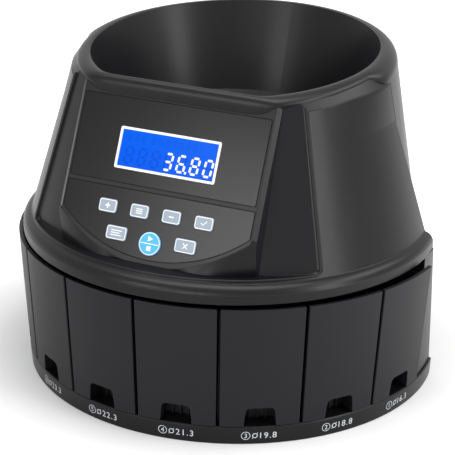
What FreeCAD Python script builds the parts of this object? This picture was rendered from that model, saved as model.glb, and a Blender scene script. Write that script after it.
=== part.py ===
import FreeCAD, Part
import math
import os

os.makedirs("parts", exist_ok=True)
Vec = FreeCAD.Vector
Turn = FreeCAD.Rotation

# Driving dimensions, in millimetres and degrees. The front faces -Y.

# base and trays
base_radius = 165.0
band_height = 14.6
band_wall = 3.0
band_floor = 2.6
band_edge = 0.8
tray_count = 8
tray_span = 172.0
tray_top = 111.0
tray_flare = 7.0
tray_depth = 79.0
tray_gap = 2.4
tray_wall = 2.0
tray_front = 3.0
tray_lift = 0.4
bin_drop = 7.0
notch_width = 22.0
notch_height = 15.5
notch_depth = 15.0
notch_round = 4.0
divider = 2.0
side_play = 0.7
rear_step = 1.0
back_flat = 6.25
cover_thick = 2.5
pad_radius = 10.0
pad_thick = 1.4

# shells
shell_axis = -7.75
shell_wall = 2.6
skirt_inset = 0.8
skirt_gap = 3.6
skirt_height = 7.8
skirt_shelf = 6.2
shelf_rise = 3.9
cone_height = 123.7
cone_taper = 36.0
rear_inset = 10.3
rear_taper = 24.2
rear_rise = 15.0
seam_top = -5.0
seam_rake = 0.137
seam_gap = 0.3
recess_angle = 98.0
recess_rise = 3.7
recess_edge_depth = 2.5
recess_bevel = 3.3
recess_setback = 57.75
recess_corner = 5.0
shell_screw_angle = 64.5
rear_screw_angle = 128.0

# hopper
rim_inset = 10.5
rim_rise = 9.3
rim_slope = 0.09
lip_width = 6.8
lip_drop = 1.5
strip_width = 6.0
strip_drop = 8.2
front_inset = 12.9
hopper_lean = 0.30
hopper_corner = 26.0
hopper_depth = 73.3
bowl_taper = 19.5
bowl_wall = 2.4
well_height = 11.0
disc_inset = 8.0
disc_play = 2.0

# console
panel_setback = 25.34
panel_rise = 60.0
panel_lean = 24.4
panel_gap = 0.45
console_margin = 10.19
console_chamfer = 3.2
console_top = 62.0
console_flare = 0.30
console_wall = 2.6
foot_reach = 20.56
console_screw_angle = 24.0
console_lug = 5.0
plate_margin = 4.5
plate_low = -11.0
plate_high = 52.0
plate_depth = 1.4
display_half = 40.6
display_low = -0.5
display_high = 30.3
display_border = 1.8
overlay_margin = 4.0
overlay_depth = 1.2
overlay_top = -14.1
overlay_side = -34.3
overlay_low = -62.8
key_width = 14.6
key_height = 9.8
wide_key_width = 16.6
wide_key_height = 10.2
key_row_high = -28.8
key_row_low = -47.4
key_pitch = 26.0
wide_key_offset = 28.0
round_key = 17.4
round_key_level = -50.6
key_corner = 2.0
key_rise = 0.9
key_clear = 0.35
key_travel = 0.8
stem_radius = 2.6
board_top = -10.0
board_thick = 1.6
dome_height = 2.7

# drive and electrics
spindle_radius = 5.0
running = 0.05
deck_drop = 0.4
deck_thick = 4.0
deck_inset = 14.2
sort_inset = 38.0
bush_radius = 9.0
aperture_first = 8.6
aperture_step = 0.65
post_angle = 110.0
post_inset = 14.0
post_radius = 6.0
motor_radius = 18.0
motor_height = 28.0
gearbox_radius = 23.0
gearbox_drop = 20.6
gearbox_height = 24.0
bracket_sheet = 3.0
bracket_depth = 48.0
bracket_foot = 13.0
screw_radius = 1.5
socket_rise = 27.4
inlet_x = -24.0
inlet_half = 12.0
inlet_tall = 8.5
switch_x = 14.0
switch_half = 10.6
switch_tall = 7.6

# radii and levels that follow from the driving dimensions
tray_top_radius = base_radius + tray_flare
tray_inner_radius = base_radius - tray_depth
rear_radius = base_radius - rear_step
cover_radius = base_radius - band_wall - 0.1
skirt_radius = base_radius - skirt_inset
cone_foot_radius = skirt_radius - skirt_shelf
cone_top_radius = cone_foot_radius - cone_taper
rear_foot_radius = cone_foot_radius - rear_inset
rear_top_radius = rear_foot_radius - rear_taper
shell_screw_radius = skirt_radius - 19.2
rear_screw_radius = rear_foot_radius - 8.7
rim_radius = cone_top_radius - rim_inset
rim_lip = rim_radius + lip_width
hopper_front = rim_radius - front_inset
bowl_foot_radius = rim_radius - bowl_taper
disc_radius = bowl_foot_radius - disc_inset
well_radius = disc_radius + disc_play
deck_radius = skirt_radius - deck_inset
sort_radius = deck_radius - sort_inset
panel_out = hopper_front + panel_setback
console_foot_radius = panel_out + foot_reach

bin_top = tray_top - bin_drop
tray_low = band_height + tray_lift
plinth_floor = band_height - band_floor
deck_level = tray_top - deck_drop
deck_top = deck_level + deck_thick
skirt_low = tray_top + skirt_gap
skirt_high = skirt_low + skirt_height
cone_foot = skirt_high + shelf_rise
cone_top = cone_foot + cone_height
recess_floor = cone_foot + recess_rise
rim_height = cone_top + rim_rise
disc_level = rim_height - hopper_depth
bowl_foot = disc_level + well_height
panel_level = recess_floor + panel_rise
gearbox_top = deck_level - gearbox_drop
socket_z = band_height + socket_rise
above = rim_height + 40.0
far = 400.0

pitch_angle = tray_span / tray_count
half_pitch = math.radians(pitch_angle / 2.0)
recess_half = math.radians(recess_angle / 2.0)
recess_axis = shell_axis + recess_setback
console_half = (cone_top_radius - recess_edge_depth) * math.sin(recess_half) - console_margin
plate_half = console_half - plate_margin
overlay_half = console_half - overlay_margin
lean = math.radians(panel_lean)
face_up = Vec(0, math.sin(lean), math.cos(lean))
face_out = Vec(0, -math.cos(lean), math.sin(lean))
face_origin = Vec(0, -panel_out, panel_level)
shell_centre = Vec(0, shell_axis, 0)
rim_tilt = math.degrees(math.atan(rim_slope))


def front_radius(z):
    """Radius of the flared base and tray fronts at a height."""
    return base_radius + tray_flare * z / tray_top


def cone_radius(z):
    """Radius of the front shell's cone at a height."""
    return cone_foot_radius - cone_taper * (z - cone_foot) / cone_height


def rear_cone_radius(z):
    """Radius of the steeper rear cone at a height."""
    return rear_foot_radius - rear_taper * (z - skirt_high) / (cone_top + rear_rise - skirt_high)


def bowl_radius(z):
    """Inside radius of the hopper bowl at a height."""
    return bowl_foot_radius + bowl_taper * (z - bowl_foot) / (rim_height - bowl_foot)


back_radius = rear_cone_radius(skirt_low)
back_plane = shell_axis + back_radius - back_flat
patch_top = bin_top


def polar(radius, angle, z=0.0, centre=Vec(0, 0, 0)):
    """Point at an angle from the front, positive towards +X."""
    a = math.radians(angle)
    return Vec(centre.x + radius * math.sin(a), centre.y - radius * math.cos(a), z)


def face_of(points):
    """Flat face from a closed run of points."""
    return Part.Face(Part.makePolygon(points + [points[0]]))


def turned(points, angle=360.0, centre=Vec(0, 0, 0)):
    """Solid turned from (radius, height) points, centred on the front."""
    face = face_of([Vec(r, 0, z) for r, z in points])
    solid = face.revolve(Vec(0, 0, 0), Vec(0, 0, 1), angle)
    solid.rotate(Vec(0, 0, 0), Vec(0, 0, 1), -90.0 - angle / 2.0)
    solid.translate(centre)
    return solid


def shell_turned(points):
    """Solid turned about the shells' axis."""
    return turned(points, 360.0, shell_centre)


def pillar(radius, low, high, x=0.0, y=0.0):
    """Upright cylinder."""
    return Part.makeCylinder(radius, high - low, Vec(x, y, low))


def block(x0, x1, y0, y1, z0, z1):
    """Upright box between limits."""
    return Part.makeBox(x1 - x0, y1 - y0, z1 - z0, Vec(x0, y0, z0))


def slot(spot, half, low, high):
    """Straight screwdriver slot."""
    return block(spot.x - half, spot.x + half, spot.y - 0.4, spot.y + 0.4, low, high)


def on_face(u, v, n=0.0):
    """Point in the console's sloping frame."""
    return face_origin + Vec(u, 0, 0) + face_up * v + face_out * n


def face_solid(outline, low, high):
    """Solid raised from a flat outline of (u, v) edges in the sloping frame."""
    shape = Part.Face(outline).extrude(Vec(0, 0, high - low))
    shape.translate(Vec(0, 0, low))
    turn = Turn(Vec(1, 0, 0), face_up, face_out, "ZXY")
    shape.Placement = FreeCAD.Placement(face_origin, turn).multiply(shape.Placement)
    return shape


def rounded(half_u, low, high, radius, centre=0.0):
    """Wire of a rounded rectangle in (u, v)."""
    u0 = centre - half_u
    u1 = centre + half_u
    s = radius * math.sqrt(0.5)
    corners = [(u1 - radius, low + radius, 1, -1), (u1 - radius, high - radius, 1, 1),
               (u0 + radius, high - radius, -1, 1), (u0 + radius, low + radius, -1, -1)]
    arcs = []
    for i, (cu, cv, su, sv) in enumerate(corners):
        side = Vec(cu + su * radius, cv, 0)
        end = Vec(cu, cv + sv * radius, 0)
        mid = Vec(cu + su * s, cv + sv * s, 0)
        first, last = (end, side) if i % 2 == 0 else (side, end)
        arcs.append((first, mid, last))
    edges = []
    for i, (first, mid, last) in enumerate(arcs):
        edges.append(Part.Arc(first, mid, last).toShape())
        following = arcs[(i + 1) % 4][0]
        if last.distanceToPoint(following) > 1e-6:
            edges.append(Part.makeLine(last, following))
    return Part.Wire(edges)


def disc_wire(radius, u, v):
    """Round wire in (u, v)."""
    return Part.Wire(Part.makeCircle(radius, Vec(u, v, 0)))


def bowed(half, top, side, low):
    """Wire with a straight top, straight sides and one arc below, in (u, v)."""
    a = Vec(-half, top, 0)
    b = Vec(half, top, 0)
    c = Vec(half, side, 0)
    d = Vec(-half, side, 0)
    arc = Part.Arc(c, Vec(0, low, 0), d).toShape()
    return Part.Wire([Part.makeLine(a, b), Part.makeLine(b, c), arc, Part.makeLine(d, a)])


def across(points):
    """Long bar along X from (y, z) points."""
    return face_of([Vec(-far, y, z) for y, z in points]).extrude(Vec(2 * far, 0, 0))


def beyond_seam(gap):
    """Everything behind the raked seam between the wide front and the narrower back."""
    y_low = seam_top + seam_rake * cone_top + gap
    y_high = seam_top + seam_rake * (cone_top - far) + gap
    return across([(y_low, -10.0), (y_low, 0), (y_high, far), (far, far), (far, -10.0)])


def back_form(front, inset, low, high):
    """Front solid ended at the seam and joined to the narrower back with its flat patch."""
    back = pillar(back_radius - inset, low, high, 0, shell_axis)
    patch = block(-far, far, back_plane - inset, far, low - 1.0, patch_top + inset)
    return front.cut(beyond_seam(-inset)).fuse(back.cut(patch))


def rim_slab(low, high):
    """Tilted layer between two heights above the rim plane."""
    slab = Part.makeBox(2 * far, 2 * far, high - low, Vec(-far, -far, low))
    slab.rotate(Vec(0, 0, 0), Vec(1, 0, 0), rim_tilt)
    slab.translate(Vec(0, 0, rim_height))
    return slab


def rim_turned(points):
    """Solid turned about the tilted rim axis from (radius, height above rim) points."""
    solid = shell_turned(points)
    solid.rotate(Vec(0, 0, 0), Vec(1, 0, 0), rim_tilt)
    solid.translate(Vec(0, 0, rim_height))
    return solid


def behind_front_wall(offset):
    """Everything behind the hopper's leaning front wall."""
    top_y = -hopper_front - offset
    y_low = top_y + hopper_lean * rim_height
    y_high = top_y - hopper_lean * (far - rim_height)
    return across([(y_low, 0), (y_high, far), (far, far), (far, 0)])


def save(shape, name):
    """Write one node."""
    shape.exportStep("parts/" + name + ".step")


# base plinth with the label band, its cover, pads and screws
band = turned([(0, 0), (base_radius - 0.6, 0), (base_radius, 0.6),
               (front_radius(band_height - band_edge), band_height - band_edge),
               (front_radius(band_height) - band_edge, band_height), (0, band_height)])
plinth = back_form(band, 0.0, 0.0, band_height)
under = pillar(base_radius - band_wall, -1.0, plinth_floor)
plinth = plinth.cut(back_form(under, band_wall, -1.0, plinth_floor))
cover = back_form(pillar(cover_radius, 0.0, cover_thick), band_wall + 0.1, 0.0, cover_thick)
boss_spots = [polar(cover_radius - 26.9, a) for a in (-65, 0, 65)]
boss_spots += [polar(back_radius - 20.0, a, 0, shell_centre) for a in (-125, 125)]
screws = []
for spot in boss_spots:
    boss = pillar(5.0, cover_thick, plinth_floor + 1.0, spot.x, spot.y)
    bore = pillar(screw_radius + 0.1, cover_thick, plinth_floor - 1.0, spot.x, spot.y)
    plinth = plinth.fuse(boss).cut(bore)
    cover = cover.cut(pillar(screw_radius + 0.4, -1.0, cover_thick + 1.0, spot.x, spot.y))
    cover = cover.cut(pillar(3.6, -1.0, 1.2, spot.x, spot.y))
    head = pillar(3.2, 0.1, 1.2, spot.x, spot.y)
    shank = pillar(screw_radius, 1.0, plinth_floor - 1.5, spot.x, spot.y)
    screws.append(head.fuse(shank).cut(slot(spot, 2.0, 0.0, 0.7)))
pad_spots = [polar(cover_radius - 23.9, a) for a in (-90, -32, 32, 90)]
pad_spots += [polar(back_radius - 27.0, a, 0, shell_centre) for a in (-150, 150)]
pads = []
for spot in pad_spots:
    cover = cover.cut(pillar(pad_radius + 0.3, -1.0, pad_thick, spot.x, spot.y))
    pads.append(pillar(pad_radius, 0.0, pad_thick, spot.x, spot.y))
save(plinth.removeSplitter(), "base_plinth")
save(cover.removeSplitter(), "base_cover")
save(Part.makeCompound(pads), "anti_slip_pads")
save(Part.makeCompound(screws), "base_screws")

# two posts with a wide foot that carry the sorting deck at the back
posts = []
for a in (-post_angle, post_angle):
    spot = polar(back_radius - post_inset, a, 0, shell_centre)
    posts.append(turned([(0, band_height), (post_radius + 3.0, band_height),
                         (post_radius + 3.0, band_height + 3.0), (post_radius, band_height + 6.0),
                         (post_radius, deck_level), (0, deck_level)], 360.0, spot))
save(Part.makeCompound(posts), "deck_posts")

# bay frame: an inner wall and one divider on each side of every tray
frame_inner = tray_inner_radius - 7.0
frame_wall = 2.2
frame = turned([(frame_inner, band_height), (frame_inner + frame_wall, band_height),
                (frame_inner + frame_wall, deck_level), (frame_inner, deck_level)], tray_span + 6.0)
for i in range(tray_count + 1):
    wall = block(-divider / 2.0, divider / 2.0, -base_radius + 8.0, -frame_inner - 1.0,
                 band_height, deck_level)
    wall = wall.cut(block(-divider, divider, -far, -deck_radius + 2.0, bin_top - 1.0, far))
    wall.rotate(Vec(0, 0, 0), Vec(0, 0, 1), -tray_span / 2.0 + i * pitch_angle)
    frame = frame.fuse(wall)
save(frame.removeSplitter(), "bay_frame")


# coin trays
def wedge(clear, inner, low, high):
    """Sector-shaped prism pointing to the front, clear of its two neighbours' mid planes."""
    t = math.tan(half_pitch)
    c = clear / math.cos(half_pitch)
    outer = tray_top_radius + 20.0
    points = [Vec(-(inner * t - c), -inner, low), Vec(inner * t - c, -inner, low),
              Vec(outer * t - c, -outer, low), Vec(-(outer * t - c), -outer, low)]
    return face_of(points).extrude(Vec(0, 0, high - low))


def flared(inset, low, high):
    """Solid of the flared front surface, moved inwards by an inset."""
    return turned([(0, low), (front_radius(low) - inset, low), (front_radius(high) - inset, high),
                   (0, high)])


def notch(grow, depth, top):
    """Finger notch: wider below, rounded above, reaching in from the front."""
    top_half = notch_width / 2.0 + grow
    low_half = top_half + 1.2
    z0 = tray_low - 1.0
    z1 = tray_low + top
    y = -(front_radius(tray_low) - depth)
    a = Vec(-low_half, y, z0)
    b = Vec(low_half, y, z0)
    c = Vec(top_half, y, z1 - notch_round)
    d = Vec(top_half - notch_round, y, z1)
    e = Vec(-top_half + notch_round, y, z1)
    f = Vec(-top_half, y, z1 - notch_round)
    s = notch_round * (1.0 - math.sqrt(0.5))
    right = Part.Arc(c, Vec(top_half - s, y, z1 - s), d).toShape()
    left = Part.Arc(e, Vec(-top_half + s, y, z1 - s), f).toShape()
    wire = Part.Wire([Part.makeLine(a, b), Part.makeLine(b, c), right, Part.makeLine(d, e), left,
                      Part.makeLine(f, a)])
    return Part.Face(wire).extrude(Vec(0, -(depth + 20.0), 0))


def on_front(edge):
    """Whether an edge runs up the flared front surface."""
    ends = [v.Point for v in edge.Vertexes]
    rise = max(p.z for p in ends) - min(p.z for p in ends)
    lies = all(abs(math.hypot(p.x, p.y) - front_radius(p.z)) < 0.01 for p in ends)
    return lies and rise > (tray_top - tray_low) / 2.0


side_clear = divider / 2.0 + side_play
body = wedge(side_clear, tray_inner_radius, tray_low, bin_top).common(flared(1.0, tray_low, bin_top))
hollow = wedge(side_clear + tray_wall, tray_inner_radius + tray_wall, tray_low + tray_wall, far)
hollow = hollow.common(flared(tray_front, tray_low + tray_wall, tray_top))
front = wedge(tray_gap / 2.0, tray_inner_radius + tray_depth / 2.0, tray_low, tray_top)
front = front.common(flared(0.0, tray_low, tray_top))
front = front.cut(flared(tray_front, tray_low - 1.0, tray_top + 1.0))
front = front.makeFillet(0.8, [e for e in front.Edges if on_front(e)])
pocket = notch(tray_wall, notch_depth + tray_wall, notch_height + tray_wall)
pocket = pocket.common(flared(0.6, tray_low, tray_top))
opening = notch(0.0, notch_depth, notch_height)
tray = body.cut(hollow).fuse(front).fuse(pocket).cut(opening)
rib_y = -(front_radius(tray_low) - notch_depth)
for x in (-6.0, 0.0, 6.0):
    tray = tray.fuse(block(x - 0.7, x + 0.7, rib_y - 2.0, rib_y + 0.5, tray_low,
                           tray_low + notch_height - 2.5))
tray = tray.removeSplitter()
for i in range(tray_count):
    placed = tray.copy()
    placed.rotate(Vec(0, 0, 0), Vec(0, 0, 1), tray_span / 2.0 - (i + 0.5) * pitch_angle)
    save(placed, "coin_tray_" + str(i + 1))

# rear wall of the base: two side posts up to the seam, the narrower back with its vents
rear_angle = 360.0 - tray_span - 2.6
rear_low = band_height + 0.2
rear_high = skirt_low - 0.2


def rear_sector(angle, low, high):
    """Ring sector around the back of the base, outside the bay frame."""
    ring = turned([(frame_inner + 10.0, low), (far, low), (far, high), (frame_inner + 10.0, high)], angle)
    ring.rotate(Vec(0, 0, 0), Vec(0, 0, 1), 180)
    return ring


rear = back_form(pillar(rear_radius, rear_low, rear_high), 0.0, rear_low, rear_high)
rear = rear.common(rear_sector(rear_angle, rear_low, rear_high))
room = back_form(pillar(rear_radius - shell_wall, rear_low - 1.0, far), shell_wall, rear_low - 1.0, far)
rear = rear.cut(room.common(rear_sector(rear_angle - 3.0, rear_low - 1.0, far)))
rear = rear.cut(room.common(block(-far, far, -far, far, deck_level - 0.4, far)))
for x, half, tall in ((inlet_x, inlet_half, inlet_tall), (switch_x, switch_half, switch_tall)):
    rear = rear.cut(block(x - half, x + half, back_plane - 9.0, back_plane + 9.0, socket_z - tall,
                          socket_z + tall))
for i in range(9):
    vent = block(-1.3, 1.3, back_plane - 9.0, back_plane + 15.0, patch_top - 34.0, patch_top - 6.0)
    vent.rotate(Vec(0, 0, 0), Vec(0, 0, 1), (i - 4) * 3.2)
    rear = rear.cut(vent)
save(rear.removeSplitter(), "rear_wall")


# front shell: skirt, light chamfer, cone, sunk front, seat for the hopper lip
def cone_body(inset, low):
    """Front shell's turned outline, moved inwards by an inset."""
    drop = inset * math.hypot(1.0, cone_taper / cone_height)
    return shell_turned([(0, low), (skirt_radius - inset, low),
                         (skirt_radius - inset, skirt_high - 0.8 - inset),
                         (skirt_radius - 1.0 - inset, skirt_high - inset),
                         (cone_foot_radius - drop, cone_foot - inset),
                         (cone_radius(above) - drop, above), (0, above)])


def rear_cone(inset, low):
    """Rear shell's turned outline, moved inwards by an inset."""
    return shell_turned([(0, low), (rear_cone_radius(low) - inset, low),
                         (rear_cone_radius(above) - inset, above), (0, above)])


def recess_radius(z):
    """Radius of the flatter sunk wall at a height, about an axis farther back."""
    edge = polar(cone_radius(z) - recess_edge_depth, recess_angle / 2.0, z, shell_centre)
    return math.hypot(edge.x, edge.y - recess_axis)


def recess_core(grow, low, high):
    """Round core that the sunk wall lies on, larger by an offset."""
    foot = recess_radius(recess_floor)
    slope = (recess_radius(cone_top) - foot) / (cone_top - recess_floor)
    low_radius = foot + slope * (low - recess_floor) + grow
    high_radius = foot + slope * (high - recess_floor) + grow
    return turned([(0, low), (low_radius, low), (high_radius, high), (0, high)], 360.0,
                  Vec(0, recess_axis, 0))


def border_side(grow):
    """Everything on the inner side of the right border's bevel, which is moved out by an offset."""
    low = polar(cone_radius(recess_floor) - recess_edge_depth, recess_angle / 2.0, recess_floor,
                shell_centre)
    high = polar(cone_radius(cone_top) - recess_edge_depth, recess_angle / 2.0, cone_top, shell_centre)
    turn = math.degrees(recess_bevel / cone_radius(recess_floor))
    outer = polar(cone_radius(recess_floor), recess_angle / 2.0 + turn, recess_floor, shell_centre)
    along = (high - low).normalize()
    normal = (outer - low).cross(along).normalize()
    sideways = normal.cross(along)
    start = low - normal * grow
    corners = [start + along * (p * far) + sideways * (q * far)
               for p, q in ((-1, -1), (1, -1), (1, 1), (-1, 1))]
    return face_of(corners).extrude(normal * (2.0 * far))


def sunk(grow):
    """Cutter for the sunk front between its two bevelled borders, with rounded lower corners."""
    low = recess_floor - grow
    right = block(0.0, far, -far, 0.0, low, above + 1.0).common(border_side(grow))
    right = right.cut(recess_core(-grow, low - 1.0, above + 2.0))
    corners = [e for e in right.Edges if e.Curve.TypeId == "Part::GeomLine"
               and all(abs(v.Z - low) < 0.01 for v in e.Vertexes)
               and all(abs(v.Y) < far - 1.0 for v in e.Vertexes)
               and abs(e.Vertexes[0].X - e.Vertexes[1].X) > 1.0]
    right = right.makeFillet(recess_corner + grow, corners)
    return right.fuse(right.mirror(Vec(0, 0, 0), Vec(1, 0, 0))).removeSplitter()


lip_profile = [(0, 0.02), (rim_radius + 0.6, 0.02), (rim_lip, -lip_drop)]
lip_top = rim_turned(lip_profile + [(rim_lip + strip_width, -lip_drop - strip_drop),
                                    (far, -lip_drop - strip_drop), (far, 60.0), (0, 60.0)])
rear_lip_top = rim_turned(lip_profile + [(rear_top_radius - 1.5, -3.0), (rear_top_radius + 1.5, -9.0),
                                         (far, -9.0), (far, 60.0), (0, 60.0)])
seat_low = -9.6
seat_high = -6.6
seat_inner = bowl_radius(rim_height + rim_slope * rim_lip + seat_high) + bowl_wall + 0.3
seat_ring = shell_turned([(seat_inner, bowl_foot), (far, bowl_foot), (far, above), (seat_inner, above)])
inside_lip = pillar(rim_lip + 0.2, bowl_foot, above, 0, shell_axis)
console_gap = block(-console_half + 2.4, console_half - 2.4, -far, -hopper_front / 2.0, recess_floor, far)
boss_top = cone_foot + 34.0


def screw_boss(shell, outline, radius, angle):
    """Shell with a bored screw boss standing on the sorting deck."""
    spot = polar(radius, angle, 0, shell_centre)
    shell = shell.fuse(pillar(5.0, deck_top, boss_top, spot.x, spot.y).common(outline))
    return shell.cut(pillar(screw_radius + 0.1, deck_top - 1.0, deck_top + 14.0, spot.x, spot.y))


front_outer = cone_body(0.0, skirt_low).cut(sunk(0.0))
front_inner = cone_body(shell_wall, skirt_low - 1.0).cut(sunk(shell_wall))
closing = front_inner.common(beyond_seam(-shell_wall)).cut(rear_cone(shell_wall, skirt_low - 1.0))
front_inner = front_inner.cut(closing)
seat = front_outer.common(rim_slab(seat_low, seat_high)).common(seat_ring)
front_shell = front_outer.cut(front_inner).fuse(seat)
for a in (-shell_screw_angle, shell_screw_angle):
    front_shell = screw_boss(front_shell, front_outer, shell_screw_radius, a)
front_shell = front_shell.cut(beyond_seam(0.0)).cut(console_gap).cut(lip_top)
front_shell = front_shell.cut(rim_slab(seat_high, 60.0).common(inside_lip))

# rear shell: the steeper cone behind the seam, closed where it stands proud of the front
rear_outer = rear_cone(0.0, skirt_low)
rear_inner = rear_cone(shell_wall, skirt_low - 1.0)
end_wall = rear_inner.cut(beyond_seam(seam_gap + shell_wall)).cut(cone_body(shell_wall, skirt_low - 1.0))
rear_inner = rear_inner.cut(end_wall)
rear_seat = rear_outer.common(rim_slab(seat_low, seat_high)).common(seat_ring)
rear_shell = rear_outer.cut(rear_inner).fuse(rear_seat)
for a in (-rear_screw_angle, rear_screw_angle):
    rear_shell = screw_boss(rear_shell, rear_outer, rear_screw_radius, a)
rear_shell = rear_shell.common(beyond_seam(seam_gap)).cut(rear_lip_top)
rear_shell = rear_shell.cut(rim_slab(seat_high, 60.0).common(inside_lip))
save(rear_shell.removeSplitter(), "rear_shell")

# hopper bowl: lip, funnel with a straight front, and the round well of the feed disc
well_floor = disc_level - 6.0
well_top = bowl_foot - 8.0
well_outer = [(0, well_floor - bowl_wall), (well_radius + bowl_wall, well_floor - bowl_wall),
              (well_radius + bowl_wall, well_top)]
funnel_outer = shell_turned(well_outer + [(bowl_foot_radius + bowl_wall, bowl_foot),
                                          (bowl_radius(above) + bowl_wall, above), (0, above)])
funnel = shell_turned([(0, well_top), (well_radius, well_top), (bowl_foot_radius, bowl_foot),
                       (bowl_radius(above + 1.0), above + 1.0), (0, above + 1.0)])
funnel = funnel.common(behind_front_wall(0.0))
crease = [e for e in funnel.Edges if e.BoundBox.YMax < -disc_radius / 3.0 and e.BoundBox.ZLength > 20.0]
funnel = funnel.makeFillet(hopper_corner, crease)
well = shell_turned([(0, well_floor), (well_radius, well_floor), (well_radius, well_top + 0.5),
                     (0, well_top + 0.5)])
lip_ring = shell_turned([(bowl_foot_radius, bowl_foot), (rim_lip, bowl_foot), (rim_lip, above),
                         (bowl_foot_radius, above)])
lip_ring = lip_ring.common(rim_slab(seat_high + 0.02, 40.0))
bowl = funnel_outer.fuse(lip_ring).common(behind_front_wall(bowl_wall))
bowl = bowl.fuse(shell_turned(well_outer + [(0, well_top)])).cut(funnel).cut(well).cut(lip_top)
bowl = bowl.cut(pillar(spindle_radius + 3.0, well_floor - 20.0, disc_level, 0, shell_axis))
exit_y = shell_axis + disc_radius - 12.0
bowl = bowl.cut(block(-17.0, 17.0, exit_y - 10.0, exit_y + 10.0, well_floor - 20.0, well_floor + 1.0))
save(bowl.removeSplitter(), "hopper_bowl")

# console housing
top_edge = on_face(0, console_top)


def console_prism(half, chamfer, top, low):
    """Long prism along the slope with chamfered front edges."""
    points = [(-half, low), (-half, top - chamfer), (-half + chamfer, top), (half - chamfer, top),
              (half, top - chamfer), (half, low)]
    outline = face_of([on_face(u, -110.0, n) for u, n in points])
    return outline.extrude(face_up * 210.0)


def console_bow(inset, low):
    """Turned limit of the console's lower front, widening upwards."""
    rise = above - low
    r = console_foot_radius - inset + console_flare * (low - recess_floor)
    return shell_turned([(0, low), (r, low), (r + console_flare * rise, low + rise), (0, low + rise)])


def over_ledge(run, drop):
    """Everything above the sloping ledge between the console's top edge and the hopper."""
    y = top_edge.y
    z = top_edge.z - drop
    return across([(y - 40.0, z), (y + run, z), (y + 8.0, z + 6.5 - run), (0, z + 6.5 - run), (0, far),
                   (y - 40.0, far)])


housing = console_prism(console_half, console_chamfer, 0.0, -34.0)
housing = housing.common(console_bow(0.0, recess_floor)).cut(over_ledge(0.0, 0.0))
housing = housing.cut(behind_front_wall(bowl_wall + 0.02))
flange_width = 2.8
cavity = console_prism(console_half - flange_width - console_wall, 1.0, -console_wall, -90.0)
cavity = cavity.common(console_bow(console_wall, recess_floor + console_wall))
housing = housing.cut(cavity.cut(over_ledge(3.0, 3.0)))
sunk_wall = recess_core(0.3, recess_floor - 1.0, above)
inner_edge = console_half - flange_width
for x0, x1 in ((inner_edge, far), (-far, -inner_edge)):
    housing = housing.cut(block(x0, x1, -far, 0.0, 0.0, far).common(sunk_wall))

housing = housing.cut(face_solid(rounded(plate_half, plate_low, plate_high, 1.5), -plate_depth, 20.0))
housing = housing.cut(face_solid(bowed(overlay_half, overlay_top, overlay_side, overlay_low),
                                 -overlay_depth, 20.0))
window = display_border - 0.2
housing = housing.cut(face_solid(rounded(display_half - window, display_low + window,
                                         display_high - window, 0.8), -20.0, 5.0))

# keys: name, centre u, centre v, half width, half height; the round one has no half width
keys = [("key_plus", -1.5 * key_pitch, key_row_high, key_width / 2.0, key_height / 2.0),
        ("key_batch", -0.5 * key_pitch, key_row_high, key_width / 2.0, key_height / 2.0),
        ("key_minus", 0.5 * key_pitch, key_row_high, key_width / 2.0, key_height / 2.0),
        ("key_set", 1.5 * key_pitch, key_row_high, key_width / 2.0, key_height / 2.0),
        ("key_report", -wide_key_offset, key_row_low, wide_key_width / 2.0, wide_key_height / 2.0),
        ("key_clear", wide_key_offset, key_row_low, wide_key_width / 2.0, wide_key_height / 2.0),
        ("key_start_stop", 0.0, round_key_level, 0.0, round_key / 2.0)]


def key_wire(half_u, half_v, u, v, grow):
    """Outline of a key, round when it has no half width."""
    if half_u == 0.0:
        return disc_wire(half_v + grow, u, v)
    return rounded(half_u + grow, v - half_v - grow, v + half_v + grow, key_corner + grow, u)


def peg(radius, u, v, low, high):
    """Round peg square to the console's face."""
    return face_solid(disc_wire(radius, u, v), low, high)


overlay = face_solid(bowed(overlay_half - panel_gap, overlay_top - panel_gap, overlay_side,
                           overlay_low + panel_gap), -overlay_depth, -0.02)
board_inset = 10.0
board = face_solid(bowed(overlay_half - board_inset, overlay_top - 2.9, overlay_side + 0.3,
                         overlay_low + 7.3), board_top - board_thick, board_top)
for name, u, v, half_u, half_v in keys:
    overlay = overlay.cut(face_solid(key_wire(half_u, half_v, u, v, key_clear), -5.0, 5.0))
    housing = housing.cut(peg(stem_radius + 0.3, u, v, board_top, 5.0))
    cap = face_solid(key_wire(half_u, half_v, u, v, 0.0), key_travel + 0.1 - overlay_depth, key_rise)
    tops = [e for e in cap.Edges if all(abs((p.Point - face_origin).dot(face_out) - key_rise) < 0.01
                                        for p in e.Vertexes)]
    cap = cap.makeFillet(key_rise / 2.0, tops)
    stem = peg(stem_radius, u, v, board_top + dome_height + key_travel + 0.1, 0.2)
    save(cap.fuse(stem).removeSplitter(), name)
    dome_seat = face_solid(rounded(3.0, v - 3.0, v + 3.0, 0.4, u), board_top - 0.2, board_top + 1.7)
    board = board.fuse(dome_seat).fuse(peg(1.7, u, v, board_top + 1.5, board_top + dome_height))
board_screws = []
board_low = board_top - board_thick
for side in (-1, 1):
    for inset, v in ((16.0, -22.5), (29.0, -41.5)):
        u = side * (overlay_half - inset)
        housing = housing.fuse(peg(2.8, u, v, board_top, -console_wall + 0.4))
        housing = housing.cut(peg(1.25, u, v, board_top - 1.0, -console_wall - 1.5))
        board = board.cut(peg(1.4, u, v, board_low - 1.0, board_top + 1.0))
        screw = peg(2.4, u, v, board_low - 1.6, board_low).fuse(peg(1.1, u, v, board_low - 0.5,
                                                                   board_top + 5.0))
        cross = face_solid(rounded(1.7, v - 0.3, v + 0.3, 0.2, u), board_low - 3.0, board_low - 1.0)
        board_screws.append(screw.cut(cross))
console_screws = []
ledge_low = recess_floor - shell_wall
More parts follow.
